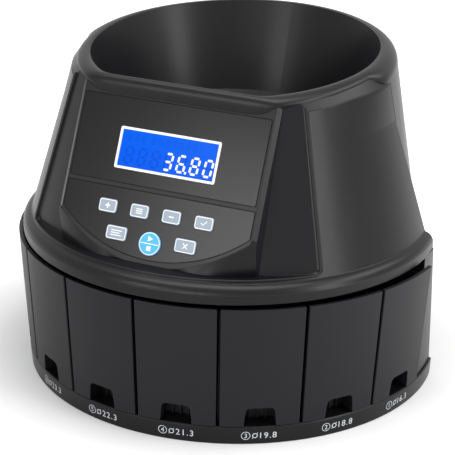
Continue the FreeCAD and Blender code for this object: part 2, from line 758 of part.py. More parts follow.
for a in (-console_screw_angle, console_screw_angle):
    spot = polar(console_foot_radius - 2.4, a, 0, shell_centre)
    boss = pillar(3.2, recess_floor, recess_floor + 9.0, spot.x, spot.y)
    housing = housing.fuse(boss.common(console_bow(0.0, recess_floor)))
    housing = housing.cut(pillar(1.25, recess_floor - 1.0, recess_floor + 8.0, spot.x, spot.y))
    front_shell = front_shell.fuse(pillar(console_lug, ledge_low, recess_floor, spot.x, spot.y))
    front_shell = front_shell.cut(pillar(1.6, ledge_low - 5.0, recess_floor + 1.0, spot.x, spot.y))
    head = pillar(2.6, ledge_low - 2.0, ledge_low, spot.x, spot.y)
    shank = pillar(1.1, ledge_low - 0.5, recess_floor + 7.0, spot.x, spot.y)
    console_screws.append(head.fuse(shank).cut(slot(spot, 1.8, ledge_low - 5.0, ledge_low - 1.2)))
save(front_shell.removeSplitter(), "front_shell")
save(housing.removeSplitter(), "console_housing")
save(overlay, "keypad_overlay")
save(board.removeSplitter(), "keypad_board")
save(Part.makeCompound(board_screws), "keypad_screws")
save(Part.makeCompound(console_screws), "console_screws")


# display: dark plate, white frame, display module
def display_wire(inset, corner):
    """Outline of the display, moved inwards by an inset."""
    return rounded(display_half - inset, display_low + inset, display_high - inset, corner)


plate = face_solid(rounded(plate_half - panel_gap, plate_low + panel_gap, plate_high - panel_gap, 1.2),
                   -plate_depth, -0.02)
plate = plate.cut(face_solid(display_wire(-0.1, 1.6), -5.0, 5.0))
save(plate, "display_plate")
border = face_solid(display_wire(0.0, 1.5), -plate_depth, 0.35)
border = border.cut(face_solid(display_wire(display_border, 0.6), -5.0, 5.0))
save(border, "display_frame")
save(face_solid(display_wire(display_border + 0.05, 0.55), -8.0, -0.35), "display_module")

# sorting deck with one aperture per tray, its bush boss and the coin sensors
fence = sort_radius + 18.0
fence_wall = 2.4
deck = shell_turned([(0, deck_level), (deck_radius, deck_level), (deck_radius, deck_top), (0, deck_top)])
inside = back_form(pillar(deck_radius + 9.0, 0.0, far), shell_wall + 0.4, 0.0, far)
deck = deck.common(inside)
deck = deck.fuse(pillar(bush_radius + 4.0, deck_level - 9.0, deck_top, 0, shell_axis))
deck = deck.fuse(shell_turned([(fence, deck_level), (fence + fence_wall, deck_level),
                               (fence + fence_wall, deck_top + 7.0), (fence, deck_top + 7.0)]))
deck = deck.cut(pillar(bush_radius + 0.02, deck_level - 20.0, deck_top + 10.0, 0, shell_axis))
sensors = []
for i in range(tray_count):
    angle = tray_span / 2.0 - (i + 0.5) * pitch_angle
    spot = polar(sort_radius, angle, 0, shell_centre)
    deck = deck.cut(pillar(aperture_first + aperture_step * i, deck_level - 5.0, deck_top + 5.0,
                           spot.x, spot.y))
    sensor = block(-4.5, 4.5, -fence - 13.0, -fence - 4.0, deck_top, deck_top + 6.0)
    sensor = sensor.fuse(block(-2.0, 2.0, -fence - 5.0, -fence - fence_wall, deck_top + 1.5,
                               deck_top + 4.5))
    sensor.rotate(Vec(0, 0, 0), Vec(0, 0, 1), angle)
    sensor.translate(shell_centre)
    sensors.append(sensor)
shell_screws = []
spots = [polar(shell_screw_radius, a, 0, shell_centre) for a in (-shell_screw_angle, shell_screw_angle)]
spots += [polar(rear_screw_radius, a, 0, shell_centre) for a in (-rear_screw_angle, rear_screw_angle)]
for spot in spots:
    deck = deck.cut(pillar(screw_radius + 0.3, deck_level - 5.0, deck_top + 5.0, spot.x, spot.y))
    head = pillar(3.0, deck_level - 2.2, deck_level, spot.x, spot.y)
    shank = pillar(screw_radius, deck_level - 0.5, deck_top + 12.0, spot.x, spot.y)
    shell_screws.append(head.fuse(shank).cut(slot(spot, 2.0, deck_level - 5.0, deck_level - 1.4)))
save(deck.removeSplitter(), "sorting_deck")
save(Part.makeCompound(sensors), "coin_sensors")
save(Part.makeCompound(shell_screws), "shell_screws")

# rotor: spindle, feed disc with its rubber pad, cap screw, sweeper
spindle_low = gearbox_top - 12.0
spindle_seat = spindle_radius + 0.02
spindle = shell_turned([(0, spindle_low), (spindle_radius - 0.6, spindle_low),
                        (spindle_radius, spindle_low + 0.6), (spindle_radius, disc_level),
                        (0, disc_level)])
spindle = spindle.cut(pillar(2.05, disc_level - 18.0, disc_level + 1.0, 0, shell_axis))
save(spindle, "spindle")
disc_low = disc_level - 3.2
disc = shell_turned([(spindle_seat, disc_low), (disc_radius - 1.0, disc_low),
                     (disc_radius, disc_low + 1.0), (disc_radius, disc_level - 1.0),
                     (disc_radius - 1.0, disc_level), (spindle_seat, disc_level)])
save(disc, "feed_disc")
pad_outer = disc_radius - 6.0
pad_inner = 16.0
rib_top = disc_level + 2.8
pad = turned([(pad_inner, disc_level), (pad_outer, disc_level), (pad_outer, disc_level + 1.0),
              (pad_outer - 0.6, disc_level + 1.5), (pad_inner + 0.6, disc_level + 1.5),
              (pad_inner, disc_level + 1.0)])
for i in range(8):
    rib = turned([(pad_inner + 6.0, disc_level + 0.8), (pad_outer - 4.0, disc_level + 0.8),
                  (pad_outer - 6.0, rib_top), (pad_inner + 8.0, rib_top)], 3.6)
    rib.rotate(Vec(0, 0, 0), Vec(0, 0, 1), i * 45.0)
    pad = pad.fuse(rib)
pad = pad.removeSplitter()
pad.translate(shell_centre)
save(pad, "feed_pad")
cap = shell_turned([(0, disc_level), (13.0, disc_level), (13.0, disc_level + 2.0), (11.0, disc_level + 4.5),
                    (6.0, disc_level + 6.2), (0, disc_level + 6.6)])
cap = cap.fuse(pillar(2.0, disc_level - 16.0, disc_level + 1.0, 0, shell_axis))
cap = cap.cut(block(-5.0, 5.0, shell_axis - 0.8, shell_axis + 0.8, disc_level + 4.6, disc_level + 9.0))
save(cap, "disc_cap_screw")
sweep_low = deck_top + 0.8
arm_reach = fence - 3.0
sweeper = turned([(spindle_seat, sweep_low), (17.0, sweep_low), (17.0, sweep_low + 8.2),
                  (12.0, sweep_low + 15.2), (spindle_seat, sweep_low + 15.2)])
for i in range(6):
    arm = face_of([Vec(-4.5, -10.0, sweep_low), Vec(4.5, -10.0, sweep_low),
                   Vec(2.5, -arm_reach, sweep_low), Vec(-2.5, -arm_reach, sweep_low)])
    arm = arm.extrude(Vec(0, 0, 5.4)).cut(pillar(spindle_radius + 3.0, 0.0, far))
    arm.rotate(Vec(0, 0, 0), Vec(0, 0, 1), i * 60.0)
    sweeper = sweeper.fuse(arm)
sweeper = sweeper.removeSplitter()
sweeper.translate(shell_centre)
save(sweeper, "sweeper_rotor")
bushes = []
for low, high in ((deck_level - 9.0, deck_top), (gearbox_top, gearbox_top + 7.0)):
    bushes.append(shell_turned([(spindle_radius + running, low), (bush_radius, low),
                                (bush_radius, high), (spindle_radius + running, high)]))
save(Part.makeCompound(bushes), "spindle_bushes")

# gear motor on its sheet bridge
bridge_half = frame_inner - 26.0
bridge_room = bridge_half - bracket_sheet
bridge_foot = bridge_half + bracket_foot
bridge_top = gearbox_top + bracket_sheet
foot_top = band_height + bracket_sheet
right_leg = [(bridge_half, bridge_top), (bridge_half, foot_top), (bridge_foot, foot_top),
             (bridge_foot, band_height), (bridge_room, band_height), (bridge_room, gearbox_top)]
left_leg = [(-x, z) for x, z in reversed(right_leg)]
bridge = face_of([Vec(x, 0, z) for x, z in right_leg + left_leg]).extrude(Vec(0, bracket_depth, 0))
bridge.translate(Vec(0, shell_axis - bracket_depth / 2.0, 0))
bridge = bridge.cut(pillar(bush_radius + 0.02, gearbox_top - 5.0, bridge_top + 5.0, 0, shell_axis))
gearbox_low = gearbox_top - gearbox_height
motor_low = gearbox_low - motor_height
motor = shell_turned([(0, motor_low - 3.0), (6.0, motor_low - 3.0), (6.0, motor_low),
                      (motor_radius - 1.5, motor_low), (motor_radius, motor_low + 1.5),
                      (motor_radius, gearbox_low), (gearbox_radius, gearbox_low),
                      (gearbox_radius, gearbox_top), (0, gearbox_top)])
motor = motor.cut(pillar(spindle_radius + running, gearbox_top - 14.0, gearbox_top + 1.0, 0, shell_axis))
motor_screws = []
for i in range(4):
    spot = polar(gearbox_radius - 6.0, 45.0 + 90.0 * i, 0, shell_centre)
    bridge = bridge.cut(pillar(screw_radius + 0.3, gearbox_top - 1.0, bridge_top + 1.0, spot.x, spot.y))
    motor = motor.cut(pillar(screw_radius + 0.05, gearbox_top - 9.0, gearbox_top + 1.0, spot.x, spot.y))
    head = pillar(2.8, bridge_top, bridge_top + 2.2, spot.x, spot.y)
    shank = pillar(screw_radius, gearbox_top - 8.0, bridge_top + 0.5, spot.x, spot.y)
    motor_screws.append(head.fuse(shank).cut(slot(spot, 1.8, bridge_top + 1.4, bridge_top + 9.0)))
save(bridge, "motor_bracket")
save(motor, "gear_motor")
save(Part.makeCompound(motor_screws), "motor_screws")

# electrics behind the trays: main board on four spacers, and the power supply
main_x = -20.0
main_width = 92.0
main_depth = 59.0
main_y = back_plane - 31.0 - main_depth
main_low = band_height + 6.0
main_high = main_low + board_thick
spacers = []
main = block(main_x, main_x + main_width, main_y, main_y + main_depth, main_low, main_high)
for x in (main_x + 5.0, main_x + main_width - 5.0):
    for y in (main_y + 5.0, main_y + main_depth - 5.0):
        main = main.cut(pillar(1.7, 0.0, far, x, y))
        spacer = pillar(3.2, band_height, main_low, x, y)
        spacers.append(spacer.fuse(pillar(1.6, main_low - 1.0, main_high + 1.4, x, y)))
for x, y, w, d, h in ((25, 17, 16, 16, 2.2), (56, 21, 22, 12, 3.0), (76, 27, 12, 20, 9.0),
                      (28, 47, 24, 9, 11.0), (58, 49, 20, 8, 9.0)):
    main = main.fuse(block(main_x + x, main_x + x + w, main_y + y, main_y + y + d, main_high - 0.6,
                           main_high + h))
for x, y in ((12, 31), (48, 39), (84, 15)):
    main = main.fuse(pillar(5.0, main_high - 0.6, main_high + 13.4, main_x + x, main_y + y))
save(main.removeSplitter(), "main_board")
save(Part.makeCompound(spacers), "board_spacers")
supply_x = -88.0
supply_width = 54.0
supply_depth = 58.0
supply_y = back_plane - 35.0 - supply_depth
supply_top = band_height + 40.0
supply = block(supply_x, supply_x + supply_width, supply_y, supply_y + supply_depth, band_height, supply_top)
supply = supply.makeFillet(3.0, [e for e in supply.Edges if e.BoundBox.ZLength > 10.0])
for i in range(6):
    x = supply_x + 6.0 + 7.6 * i
    supply = supply.cut(block(x, x + 4.0, supply_y + 7.0, supply_y + supply_depth - 12.0,
                              supply_top - 1.5, far))
plug_y = supply_y + supply_depth
supply = supply.fuse(block(supply_x + 13.0, supply_x + 41.0, plug_y - 1.0, plug_y + 9.0, band_height,
                           band_height + 16.0))
save(supply.removeSplitter(), "power_supply")


# mains inlet with two pins
def panel_body(x, half, tall, depth, rim, rim_thick, rim_round):
    """Body pushed through the back patch, with a rounded outer rim."""
    inner = block(x - half + 0.2, x + half - 0.2, back_plane - depth, back_plane + 0.5,
                  socket_z - tall + 0.2, socket_z + tall - 0.2)
    flange = block(x - half - rim, x + half + rim, back_plane, back_plane + rim_thick,
                   socket_z - tall - rim, socket_z + tall + rim)
    flange = flange.makeFillet(rim_round, [e for e in flange.Edges if e.BoundBox.YLength > 1.0])
    return inner.fuse(flange)


inlet = panel_body(inlet_x, inlet_half, inlet_tall, 24.0, 3.0, 2.0, 2.5)
pin_offset = 4.3
lobe_radius = 5.0
socket_back = back_plane - 16.0
pins = []
for side in (-1, 1):
    pin_seat = Vec(inlet_x + side * pin_offset, socket_back, socket_z)
    inlet = inlet.cut(Part.makeCylinder(lobe_radius, 20.0, pin_seat, Vec(0, 1, 0)))
    pins.append(Part.makeCylinder(1.2, 14.0, pin_seat, Vec(0, 1, 0)))
inlet = inlet.cut(block(inlet_x - pin_offset, inlet_x + pin_offset, socket_back, back_plane + 9.0,
                        socket_z - 3.4, socket_z + 3.4))
save(inlet.removeSplitter(), "power_inlet")
save(Part.makeCompound(pins), "inlet_pins")

# mains switch: body with a socket, and a rocker on two stub pivots
pivot_y = back_plane - 2.6
pivot_radius = 1.2
switch = panel_body(switch_x, switch_half, switch_tall, 20.0, 2.0, 1.6, 1.5)
switch = switch.cut(block(switch_x - 8.3, switch_x + 8.3, back_plane - 9.5, back_plane + 9.0,
                          socket_z - 5.4, socket_z + 5.4))
switch = switch.cut(pillar(pivot_radius + running, socket_z - 6.7, socket_z + 6.7, switch_x, pivot_y))
save(switch.removeSplitter(), "switch_body")
rocker = face_of([Vec(-7.4, 1.2, -5), Vec(-7.4, 4.6, -5), Vec(0, 3.2, -5), Vec(7.4, 4.6, -5),
                  Vec(7.4, 1.2, -5), Vec(3.2, -3.6, -5), Vec(-3.2, -3.6, -5)]).extrude(Vec(0, 0, 10))
rocker = rocker.fuse(pillar(pivot_radius, -6.5, 6.5))
rocker.rotate(Vec(0, 0, 0), Vec(0, 0, 1), -8.0)
rocker.translate(Vec(switch_x, pivot_y, socket_z))
save(rocker, "switch_rocker")
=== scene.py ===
"""Looks of a table-top coin sorter: finishes of its mouldings, its prints, its display and its studio."""

import logging
import math
from dataclasses import dataclass, field
from enum import Enum
from typing import Any, Callable, Sequence

import bpy
import numpy as np
from mathutils import Matrix, Vector


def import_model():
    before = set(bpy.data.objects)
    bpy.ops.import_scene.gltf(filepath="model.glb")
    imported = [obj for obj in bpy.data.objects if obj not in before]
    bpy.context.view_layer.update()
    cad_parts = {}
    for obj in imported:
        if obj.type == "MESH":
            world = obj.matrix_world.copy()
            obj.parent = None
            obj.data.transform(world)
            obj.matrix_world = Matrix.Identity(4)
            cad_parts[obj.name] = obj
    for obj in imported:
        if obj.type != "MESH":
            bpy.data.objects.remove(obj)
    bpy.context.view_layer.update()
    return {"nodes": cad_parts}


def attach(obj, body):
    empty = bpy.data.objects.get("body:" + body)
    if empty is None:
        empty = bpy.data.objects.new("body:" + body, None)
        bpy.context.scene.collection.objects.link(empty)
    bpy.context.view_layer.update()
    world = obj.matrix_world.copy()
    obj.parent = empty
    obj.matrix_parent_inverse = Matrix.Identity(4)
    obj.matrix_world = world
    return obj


LOG = logging.getLogger("coin_sorter")
MM = 0.001
Pair = tuple[float, float]
Triple = tuple[float, float, float]
Placing = Callable[[np.ndarray], np.ndarray]
Piece = tuple[bpy.types.Object, str]


class Mark(Enum):
    """Plain signs printed on the keys, by the key that carries them."""

    PLUS = "plus"
    STACK = "batch"
    MINUS = "minus"
    TICK = "set"
    LINES = "report"
    CROSS = "clear"
    RUN_HALT = "start_stop"


class Socket:
    """One output socket of a shader graph, with arithmetic that adds Math nodes."""

    def __init__(self, graph: "Graph", link: bpy.types.NodeSocket) -> None:
        """Keep the graph and the socket."""
        self.graph = graph
        self.link = link

    def _math(self, operation: str, first: Any, second: Any) -> "Socket":
        """Add one Math node for two values."""
        return self.graph.node("ShaderNodeMath", {"operation": operation}, {0: first, 1: second})

    def __add__(self, other: Any) -> "Socket":
        """Sum."""
        return self._math("ADD", self, other)

    def __radd__(self, other: Any) -> "Socket":
        """Sum with a number in front."""
        return self._math("ADD", other, self)

    def __sub__(self, other: Any) -> "Socket":
        """Difference."""
        return self._math("SUBTRACT", self, other)

    def __rsub__(self, other: Any) -> "Socket":
        """Difference with a number in front."""
        return self._math("SUBTRACT", other, self)

    def __mul__(self, other: Any) -> "Socket":
        """Product."""
        return self._math("MULTIPLY", self, other)

    def __rmul__(self, other: Any) -> "Socket":
        """Product with a number in front."""
        return self._math("MULTIPLY", other, self)

    def __truediv__(self, other: Any) -> "Socket":
        """Quotient."""
        return self._math("DIVIDE", self, other)

    def clamped(self) -> "Socket":
        """The value held between 0 and 1."""
        return self.graph.node("ShaderNodeClamp", {}, {"Value": self})

    def ramp(self, start: float, end: float) -> "Socket":
        """Share of the way from a start to an end, held between 0 and 1."""
        return ((self - start) / (end - start)).clamped()


class Graph:
    """Node tree of one material or of the world."""

    def __init__(self, owner: bpy.types.Material | bpy.types.World) -> None:
        """Clear the owner's tree and add its output.

        Args:
            owner: Material or world that gets the nodes.
        """
        owner.use_nodes = True
        self.tree = owner.node_tree
        self.tree.nodes.clear()
        solid = isinstance(owner, bpy.types.Material)
        self.output = self.tree.nodes.new("ShaderNodeOutputMaterial" if solid else "ShaderNodeOutputWorld")

    def node(self, kind: str, settings: dict[str, Any] | None = None,
             inputs: dict[Any, Any] | None = None, out: Any = 0) -> Socket:
        """Add any node.

        Args:
            kind: Type name of the node.
            settings: Properties, which are set first.
            inputs: Values or sockets by input name or number.
            out: Name or number of the output that is returned.

        Returns:
            The chosen output.
        """
        made = self.tree.nodes.new(kind)
        for key, value in (settings or {}).items():
            setattr(made, key, value)
        for key, value in (inputs or {}).items():
            if isinstance(value, Socket):
                self.tree.links.new(value.link, made.inputs[key])
            else:
                made.inputs[key].default_value = value
        return Socket(self, made.outputs[out])

    def surface(self, shader: Socket) -> None:
        """Link a shader to the output."""
        self.tree.links.new(shader.link, self.output.inputs["Surface"])

    def place(self) -> Socket:
        """The point's own coordinates in metres."""
        return self.node("ShaderNodeTexCoord", out="Object")

    def noise(self, size: float, detail: float = 2.0, stretch: Triple = (1.0, 1.0, 1.0)) -> Socket:
        """Noise from 0 to 1 of a grain size in metres, with octaves of detail, scaled along the axes."""
        point = self.node("ShaderNodeMapping", {}, {"Vector": self.place(), "Scale": stretch})
        return self.node("ShaderNodeTexNoise", {}, {"Vector": point, "Scale": 1.0 / size, "Detail": detail})

    def mix(self, factor: Any, first: Any, second: Any) -> Socket:
        """Colour between two colours: a factor of 0 gives the first and 1 the second."""
        ends = [value if isinstance(value, Socket) else (*value, 1.0) for value in (first, second)]
        return self.node("ShaderNodeMix", {"data_type": "RGBA"},
                         {"Factor": factor, 6: ends[0], 7: ends[1]}, out=2)

    def rounded_edges(self, radius: float) -> tuple[Socket, Socket]:
        """Normals as if the edges were rounded, and a mask of those edges.

        The mask is one less the cosine between the rounded and the true normal.

        Args:
            radius: Edge radius in metres.

        Returns:
            The rounded normal and the mask.
        """
        soft = self.node("ShaderNodeBevel", {"samples": 6}, {"Radius": radius})
        true = self.node("ShaderNodeNewGeometry", out="Normal")
        cosine = self.node("ShaderNodeVectorMath", {"operation": "DOT_PRODUCT"}, {0: soft, 1: true},
                           out="Value")
        return soft, (1.0 - cosine).clamped()

    def bump(self, height: Socket, depth: float, normal: Socket | None = None) -> Socket:
        """Normal of a bumpy surface.

        Args:
            height: Height from 0 to 1.
            depth: Real depth of the bumps in metres.
            normal: Normal that is bumped, where it isn't the surface's own.

        Returns:
            The bumped normal.
        """
        inputs: dict[str, Any] = {"Height": height, "Distance": depth, "Strength": 1.0}
        if normal is not None:
            inputs["Normal"] = normal
        return self.node("ShaderNodeBump", {}, inputs)


@dataclass(frozen=True)
class Finish:
    """Named finish: one shader whose inputs each kind of finish fills in."""

    name: str
    colour: Triple
    roughness: float = 0.5
    shades: Pair = (0.9, 1.0)
    gloss: float = 0.12

    def inputs(self, graph: Graph) -> dict[str, Any]:
        """Values and sockets of the shader, by input name."""
        raise NotImplementedError

    def shade(self, factor: float) -> Triple:
        """The colour times a factor."""
        return tuple(c * factor for c in self.colour)

    def mottled(self, graph: Graph, noise: Socket) -> Socket:
        """The colour, moved by a noise between its two shades."""
        return graph.mix(noise, *(self.shade(factor) for factor in self.shades))

    def dulled(self, noise: Socket) -> Socket:
        """The roughness, moved up and down by a noise."""
        return self.roughness + (noise - 0.5) * self.gloss

    def material(self) -> bpy.types.Material:
        """Build the material."""
        material = bpy.data.materials.new(self.name)
        graph = Graph(material)
        graph.surface(graph.node("ShaderNodeBsdfPrincipled", {}, self.inputs(graph)))
        return material


@dataclass(frozen=True)
class MouldedPlastic(Finish):
    """Spark-eroded black moulding: fine grain, faint flow marks, and edges with a painted highlight in their
    colour and a little more gloss.
    """

    roughness: float = 0.34
    shades: Pair = (0.88, 1.12)
    gloss: float = 0.16
    specular: float = 0.22
    grain: float = 0.5 * MM
    depth: float = 0.01 * MM
    edge_radius: float = 0.7 * MM
    # Colour factor of the painted highlight on the edges.
    edge_lift: float = 2.2
    edge_reach: float = 2.5
    flow: float = 45 * MM
    flow_stretch: Triple = (1.0, 1.0, 0.4)
    flow_gloss: float = 0.08
    # Patch size of the edge mask, which both paints the edge highlight and marks the wear.
    wear_and_highlight_patch: float = 6 * MM
    wear_gloss: float = 0.06

    def inputs(self, graph: Graph) -> dict[str, Any]:
        """Colour moves with the flow marks and is painted lighter at the edges as a highlight; gloss moves
        with the grain as well, and rises a little at the worn edges.
        """
        normal, edge = graph.rounded_edges(self.edge_radius)
        grain = graph.noise(self.grain, 3.0)
        flow = graph.noise(self.flow, 2.0, self.flow_stretch)
        # Edge mask in patches: it paints a highlight into the colour and, as wear, lowers the roughness.
        wear_and_edge_highlight = (edge * self.edge_reach).clamped() * (0.5 + 0.5 * graph.noise(self.wear_and_highlight_patch))
        rough = self.dulled(grain) + (flow - 0.5) * self.flow_gloss - wear_and_edge_highlight * self.wear_gloss
        return {"Base Color": graph.mix(wear_and_edge_highlight, self.mottled(graph, flow), self.shade(self.edge_lift)),
                "Roughness": rough,
                "Specular IOR Level": self.specular,
                "Normal": graph.bump(grain, self.depth, normal)}


@dataclass(frozen=True)
class MattFilm(Finish):
    """Printed film over the console, with a very fine even tooth."""

    roughness: float = 0.22
    shades: Pair = (0.9, 1.1)
    specular: float = 0.2
    tooth: float = 0.28 * MM
    depth: float = 0.005 * MM
    cloud: float = 30 * MM
    edge_radius: float = 0.25 * MM
    edge_shade: float = 0.4

    def inputs(self, graph: Graph) -> dict[str, Any]:
        """Colour drifts slowly and darkens at the cut edges."""
        tooth = graph.noise(self.tooth, 2.0)
        cloud = graph.noise(self.cloud, 1.0)
        normal, edge = graph.rounded_edges(self.edge_radius)
        return {"Base Color": graph.mix(edge, self.mottled(graph, cloud), self.shade(self.edge_shade)),
                "Roughness": self.dulled(tooth),
                "Specular IOR Level": self.specular,
                "Normal": graph.bump(tooth, self.depth, normal)}


@dataclass(frozen=True)
class Ink(Finish):
    """Screen print with slightly uneven cover."""

    roughness: float = 0.55
    gloss: float = 0.2
    cover: float = 0.6 * MM

    def inputs(self, graph: Graph) -> dict[str, Any]:
        """Colour and gloss move with the cover."""
        cover = graph.noise(self.cover, 3.0)
        return {"Base Color": self.mottled(graph, cover), "Roughness": self.dulled(cover)}


@dataclass(frozen=True)
class Backlight(Finish):
    """Lit display area: an emission that changes evenly from a low height to a high one."""

    roughness: float = 0.2
    gloss: float = 0.05
    end: Triple = (1.0, 1.0, 1.0)
    low: float = 190 * MM
    high: float = 216 * MM
    drift: float = 0.25
    unlit: float = 0.1
    specular: float = 0.04
    mottle: float = 9 * MM

    def inputs(self, graph: Graph) -> dict[str, Any]:
        """Emission runs between the two colours, with a soft mottle."""
        along = graph.node("ShaderNodeSeparateXYZ", {}, {"Vector": graph.place()}, out="Z")
        mottle = graph.noise(self.mottle, 2.0)
        share = (along.ramp(self.low, self.high) + (mottle - 0.5) * self.drift).clamped()
        return {"Base Color": (*(c * self.unlit for c in self.end), 1.0),
                "Roughness": self.dulled(mottle),
                "Specular IOR Level": self.specular,
                "Emission Color": graph.mix(share, self.colour, self.end),
                "Emission Strength": 1.0}


@dataclass(frozen=True)
class Silicone(Finish):
    """Soft key rubber with a satin skin."""

    roughness: float = 0.48
    shades: Pair = (0.93, 1.0)
    sheen: float = 0.15
    skin: float = 0.25 * MM
    depth: float = 0.008 * MM
    handled: float = 5 * MM

    def inputs(self, graph: Graph) -> dict[str, Any]:
        """Colour and gloss move where fingers polish the skin."""
        skin = graph.noise(self.skin, 2.0)
        handled = graph.noise(self.handled, 1.0)
        return {"Base Color": self.mottled(graph, handled),
                "Roughness": self.dulled(handled),
                "Sheen Weight": self.sheen,
                "Normal": graph.bump(skin, self.depth)}


@dataclass(frozen=True)
class Metal(Finish):
    """Machined or pressed metal with fine lines along one direction."""

    roughness: float = 0.32
    shades: Pair = (0.82, 1.0)
    gloss: float = 0.2
    stretch: Triple = (1.0, 1.0, 0.06)
    lines: float = 0.3 * MM
    depth: float = 0.01 * MM
    stain: float = 8 * MM
    stain_gloss: float = 0.15

    def inputs(self, graph: Graph) -> dict[str, Any]:
        """Colour moves with the stains, and gloss with the lines as well."""
        lines = graph.noise(self.lines, 3.0, self.stretch)
        stain = graph.noise(self.stain, 2.0)
        return {"Base Color": self.mottled(graph, stain),
                "Metallic": 1.0,
                "Roughness": self.dulled(lines) + (stain - 0.5) * self.stain_gloss,
                "Normal": graph.bump(lines, self.depth)}


@dataclass(frozen=True)
class SolderMask(Finish):
    """Green circuit board with copper tracks showing under the mask."""

    roughness: float = 0.3
    gloss: float = 0.15
    tracks: float = 90.0
    track_width: float = 0.03
    track_lift: Pair = (1.8, 0.01)
    smear: float = 2 * MM

    def inputs(self, graph: Graph) -> dict[str, Any]:
        """The joints of a brick pattern are the tracks, a little lighter than the board."""
        black, white = (0.0, 0.0, 0.0, 1.0), (1.0, 1.0, 1.0, 1.0)
        brick = graph.node("ShaderNodeTexBrick", {"offset": 0.37, "squash": 0.6}, {
            "Vector": graph.place(), "Scale": self.tracks, "Mortar Size": self.track_width,
            "Color1": black, "Color2": black, "Mortar": white}, out="Color")
        times, plus = self.track_lift
        return {"Base Color": graph.mix(brick, self.colour, tuple(c * times + plus for c in self.colour)),
                "Roughness": self.roughness + graph.noise(self.smear) * self.gloss}


def placed(name: str, data: bpy.types.ID) -> bpy.types.Object:
    """New object in the scene, with some data."""
    made = bpy.data.objects.new(name, data)
    bpy.context.scene.collection.objects.link(made)
    return made


@dataclass(frozen=True)
class Ribbon:
    """Flat stroke: a centre line with a width at each of its points."""

    centre: np.ndarray
    width: np.ndarray
    closed: bool = False


@dataclass
class Sheet:
    """Closed solids gathered into one mesh, its prints raised between two heights."""

    low: float = 0.0
    high: float = 0.0
    points: list[np.ndarray] = field(default_factory=list)
    faces: list[list[int]] = field(default_factory=list)
    count: int = 0

    def add(self, points: np.ndarray, faces: Sequence[Sequence[int]]) -> None:
        """Add one closed solid.

        Args:
            points: Its vertices, one row each.
            faces: Its faces, as rows of vertex numbers.
        """
        self.points.append(points)
        self.faces.extend([[i + self.count for i in face] for face in faces])
        self.count += len(points)

    def loft(self, grid: np.ndarray, joined: bool = False) -> "Sheet":
        """Add a closed profile carried along a path.

        Each row of the grid is one place of the profile and each column one point of it. The faces are
        turned outwards by the sign of the volume: the sum of the triple products of the side triangles.

        Args:
            grid: Points by row and column, the last column next to the first.
            joined: Whether the last row is joined to the first; otherwise both ends are closed flat.

        Returns:
            This sheet.
        """
        rows, columns = grid.shape[:2]
        steps = np.arange(rows if joined else rows - 1)[:, None]
        sides = np.arange(columns)[None, :]
        following, beside = (steps + 1) % rows, (sides + 1) % columns
        quads = np.stack([steps * columns + sides, following * columns + sides,
                          following * columns + beside, steps * columns + beside], -1).reshape(-1, 4)
        points = grid.reshape(-1, 3)
        triangles = points[np.concatenate([quads[:, [0, 1, 2]], quads[:, [0, 2, 3]]])] - points.mean(0)
        volume = np.einsum("ij,ij->", triangles[:, 0], np.cross(triangles[:, 1], triangles[:, 2]))
        faces = quads.tolist()
        if not joined:
            last = (rows - 1) * columns
            faces += [list(range(columns)), list(range(last + columns - 1, last - 1, -1))]
        if volume < 0.0:
            faces = [face[::-1] for face in faces]
        self.add(points, faces)
        return self

    def stroke(self, ribbon: Ribbon) -> None:
        """Add a raised ribbon: a rectangle of its width, carried along its centre line and square to it.

        Args:
            ribbon: The stroke.
        """
        line = ribbon.centre
        if ribbon.closed:
            along = np.roll(line, -1, 0) - np.roll(line, 1, 0)
        else:
            along = np.gradient(line, axis=0)
        along = along / np.linalg.norm(along, axis=1, keepdims=True)
        across = np.stack([-along[:, 1], along[:, 0]], 1) * ribbon.width[:, None] / 2.0
        left, right = line + across, line - across
        corners = [(right, self.low), (right, self.high), (left, self.high), (left, self.low)]
        grid = np.stack([np.column_stack([edge, np.full(len(line), h)]) for edge, h in corners], 1)
        self.loft(grid, ribbon.closed)

    def text(self, words: str, height: float, centre: Pair, spacing: float = 1.0) -> None:
        """Add plain figures as raised flat shapes.

        Args:
            words: The figures.
            height: Height of the figures.
            centre: Middle of the line of figures.
            spacing: Distance between figures as a share of the usual one.
        """
        curve = bpy.data.curves.new("figures", "FONT")
        curve.body = words
        curve.extrude = 0.5
        curve.resolution_u = 5
        curve.space_character = spacing
        holder = placed("figures", curve)
        graph = bpy.context.evaluated_depsgraph_get()
        mesh = bpy.data.meshes.new_from_object(holder.evaluated_get(graph))
        flat = np.empty(len(mesh.vertices) * 3, np.float32)
        mesh.vertices.foreach_get("co", flat)
        points = flat.reshape(-1, 3).astype(float)
        faces = [list(polygon.vertices) for polygon in mesh.polygons]
        bpy.data.objects.remove(holder)
        bpy.data.curves.remove(curve)
        bpy.data.meshes.remove(mesh)
        size = np.ptp(points[:, 1])
        middle = (points.max(0) + points.min(0)) / 2.0
        points[:, :2] = (points[:, :2] - middle[:2]) * (height / size) + np.array(centre)
        points[:, 2] = np.where(points[:, 2] > 0.0, self.high, self.low)
        self.add(points, faces)

    def build(self, name: str, placing: Placing, material: bpy.types.Material,
              crease: float | None = None) -> bpy.types.Object:
        """Make the object.

        Args:
            name: Name of the piece.
            placing: Turns the sheet's own rows into points of the part's frame.
            material: Finish of the piece.
            crease: Angle in degrees above which edges stay sharp on a smooth piece.

        Returns:
            The new object, at the origin.
        """
        mesh = bpy.data.meshes.new(name)
        mesh.from_pydata(placing(np.concatenate(self.points)), [], self.faces)
        mesh.validate()
        if crease is not None:
            mesh.shade_smooth()
            mesh.set_sharp_from_angle(angle=math.radians(crease))
        mesh.materials.append(material)
        return placed(name, mesh)


def straight(start: Pair, end: Pair, width: float) -> Ribbon:
    """Straight stroke of even width."""
    return Ribbon(np.array([start, end], float), np.full(2, width))


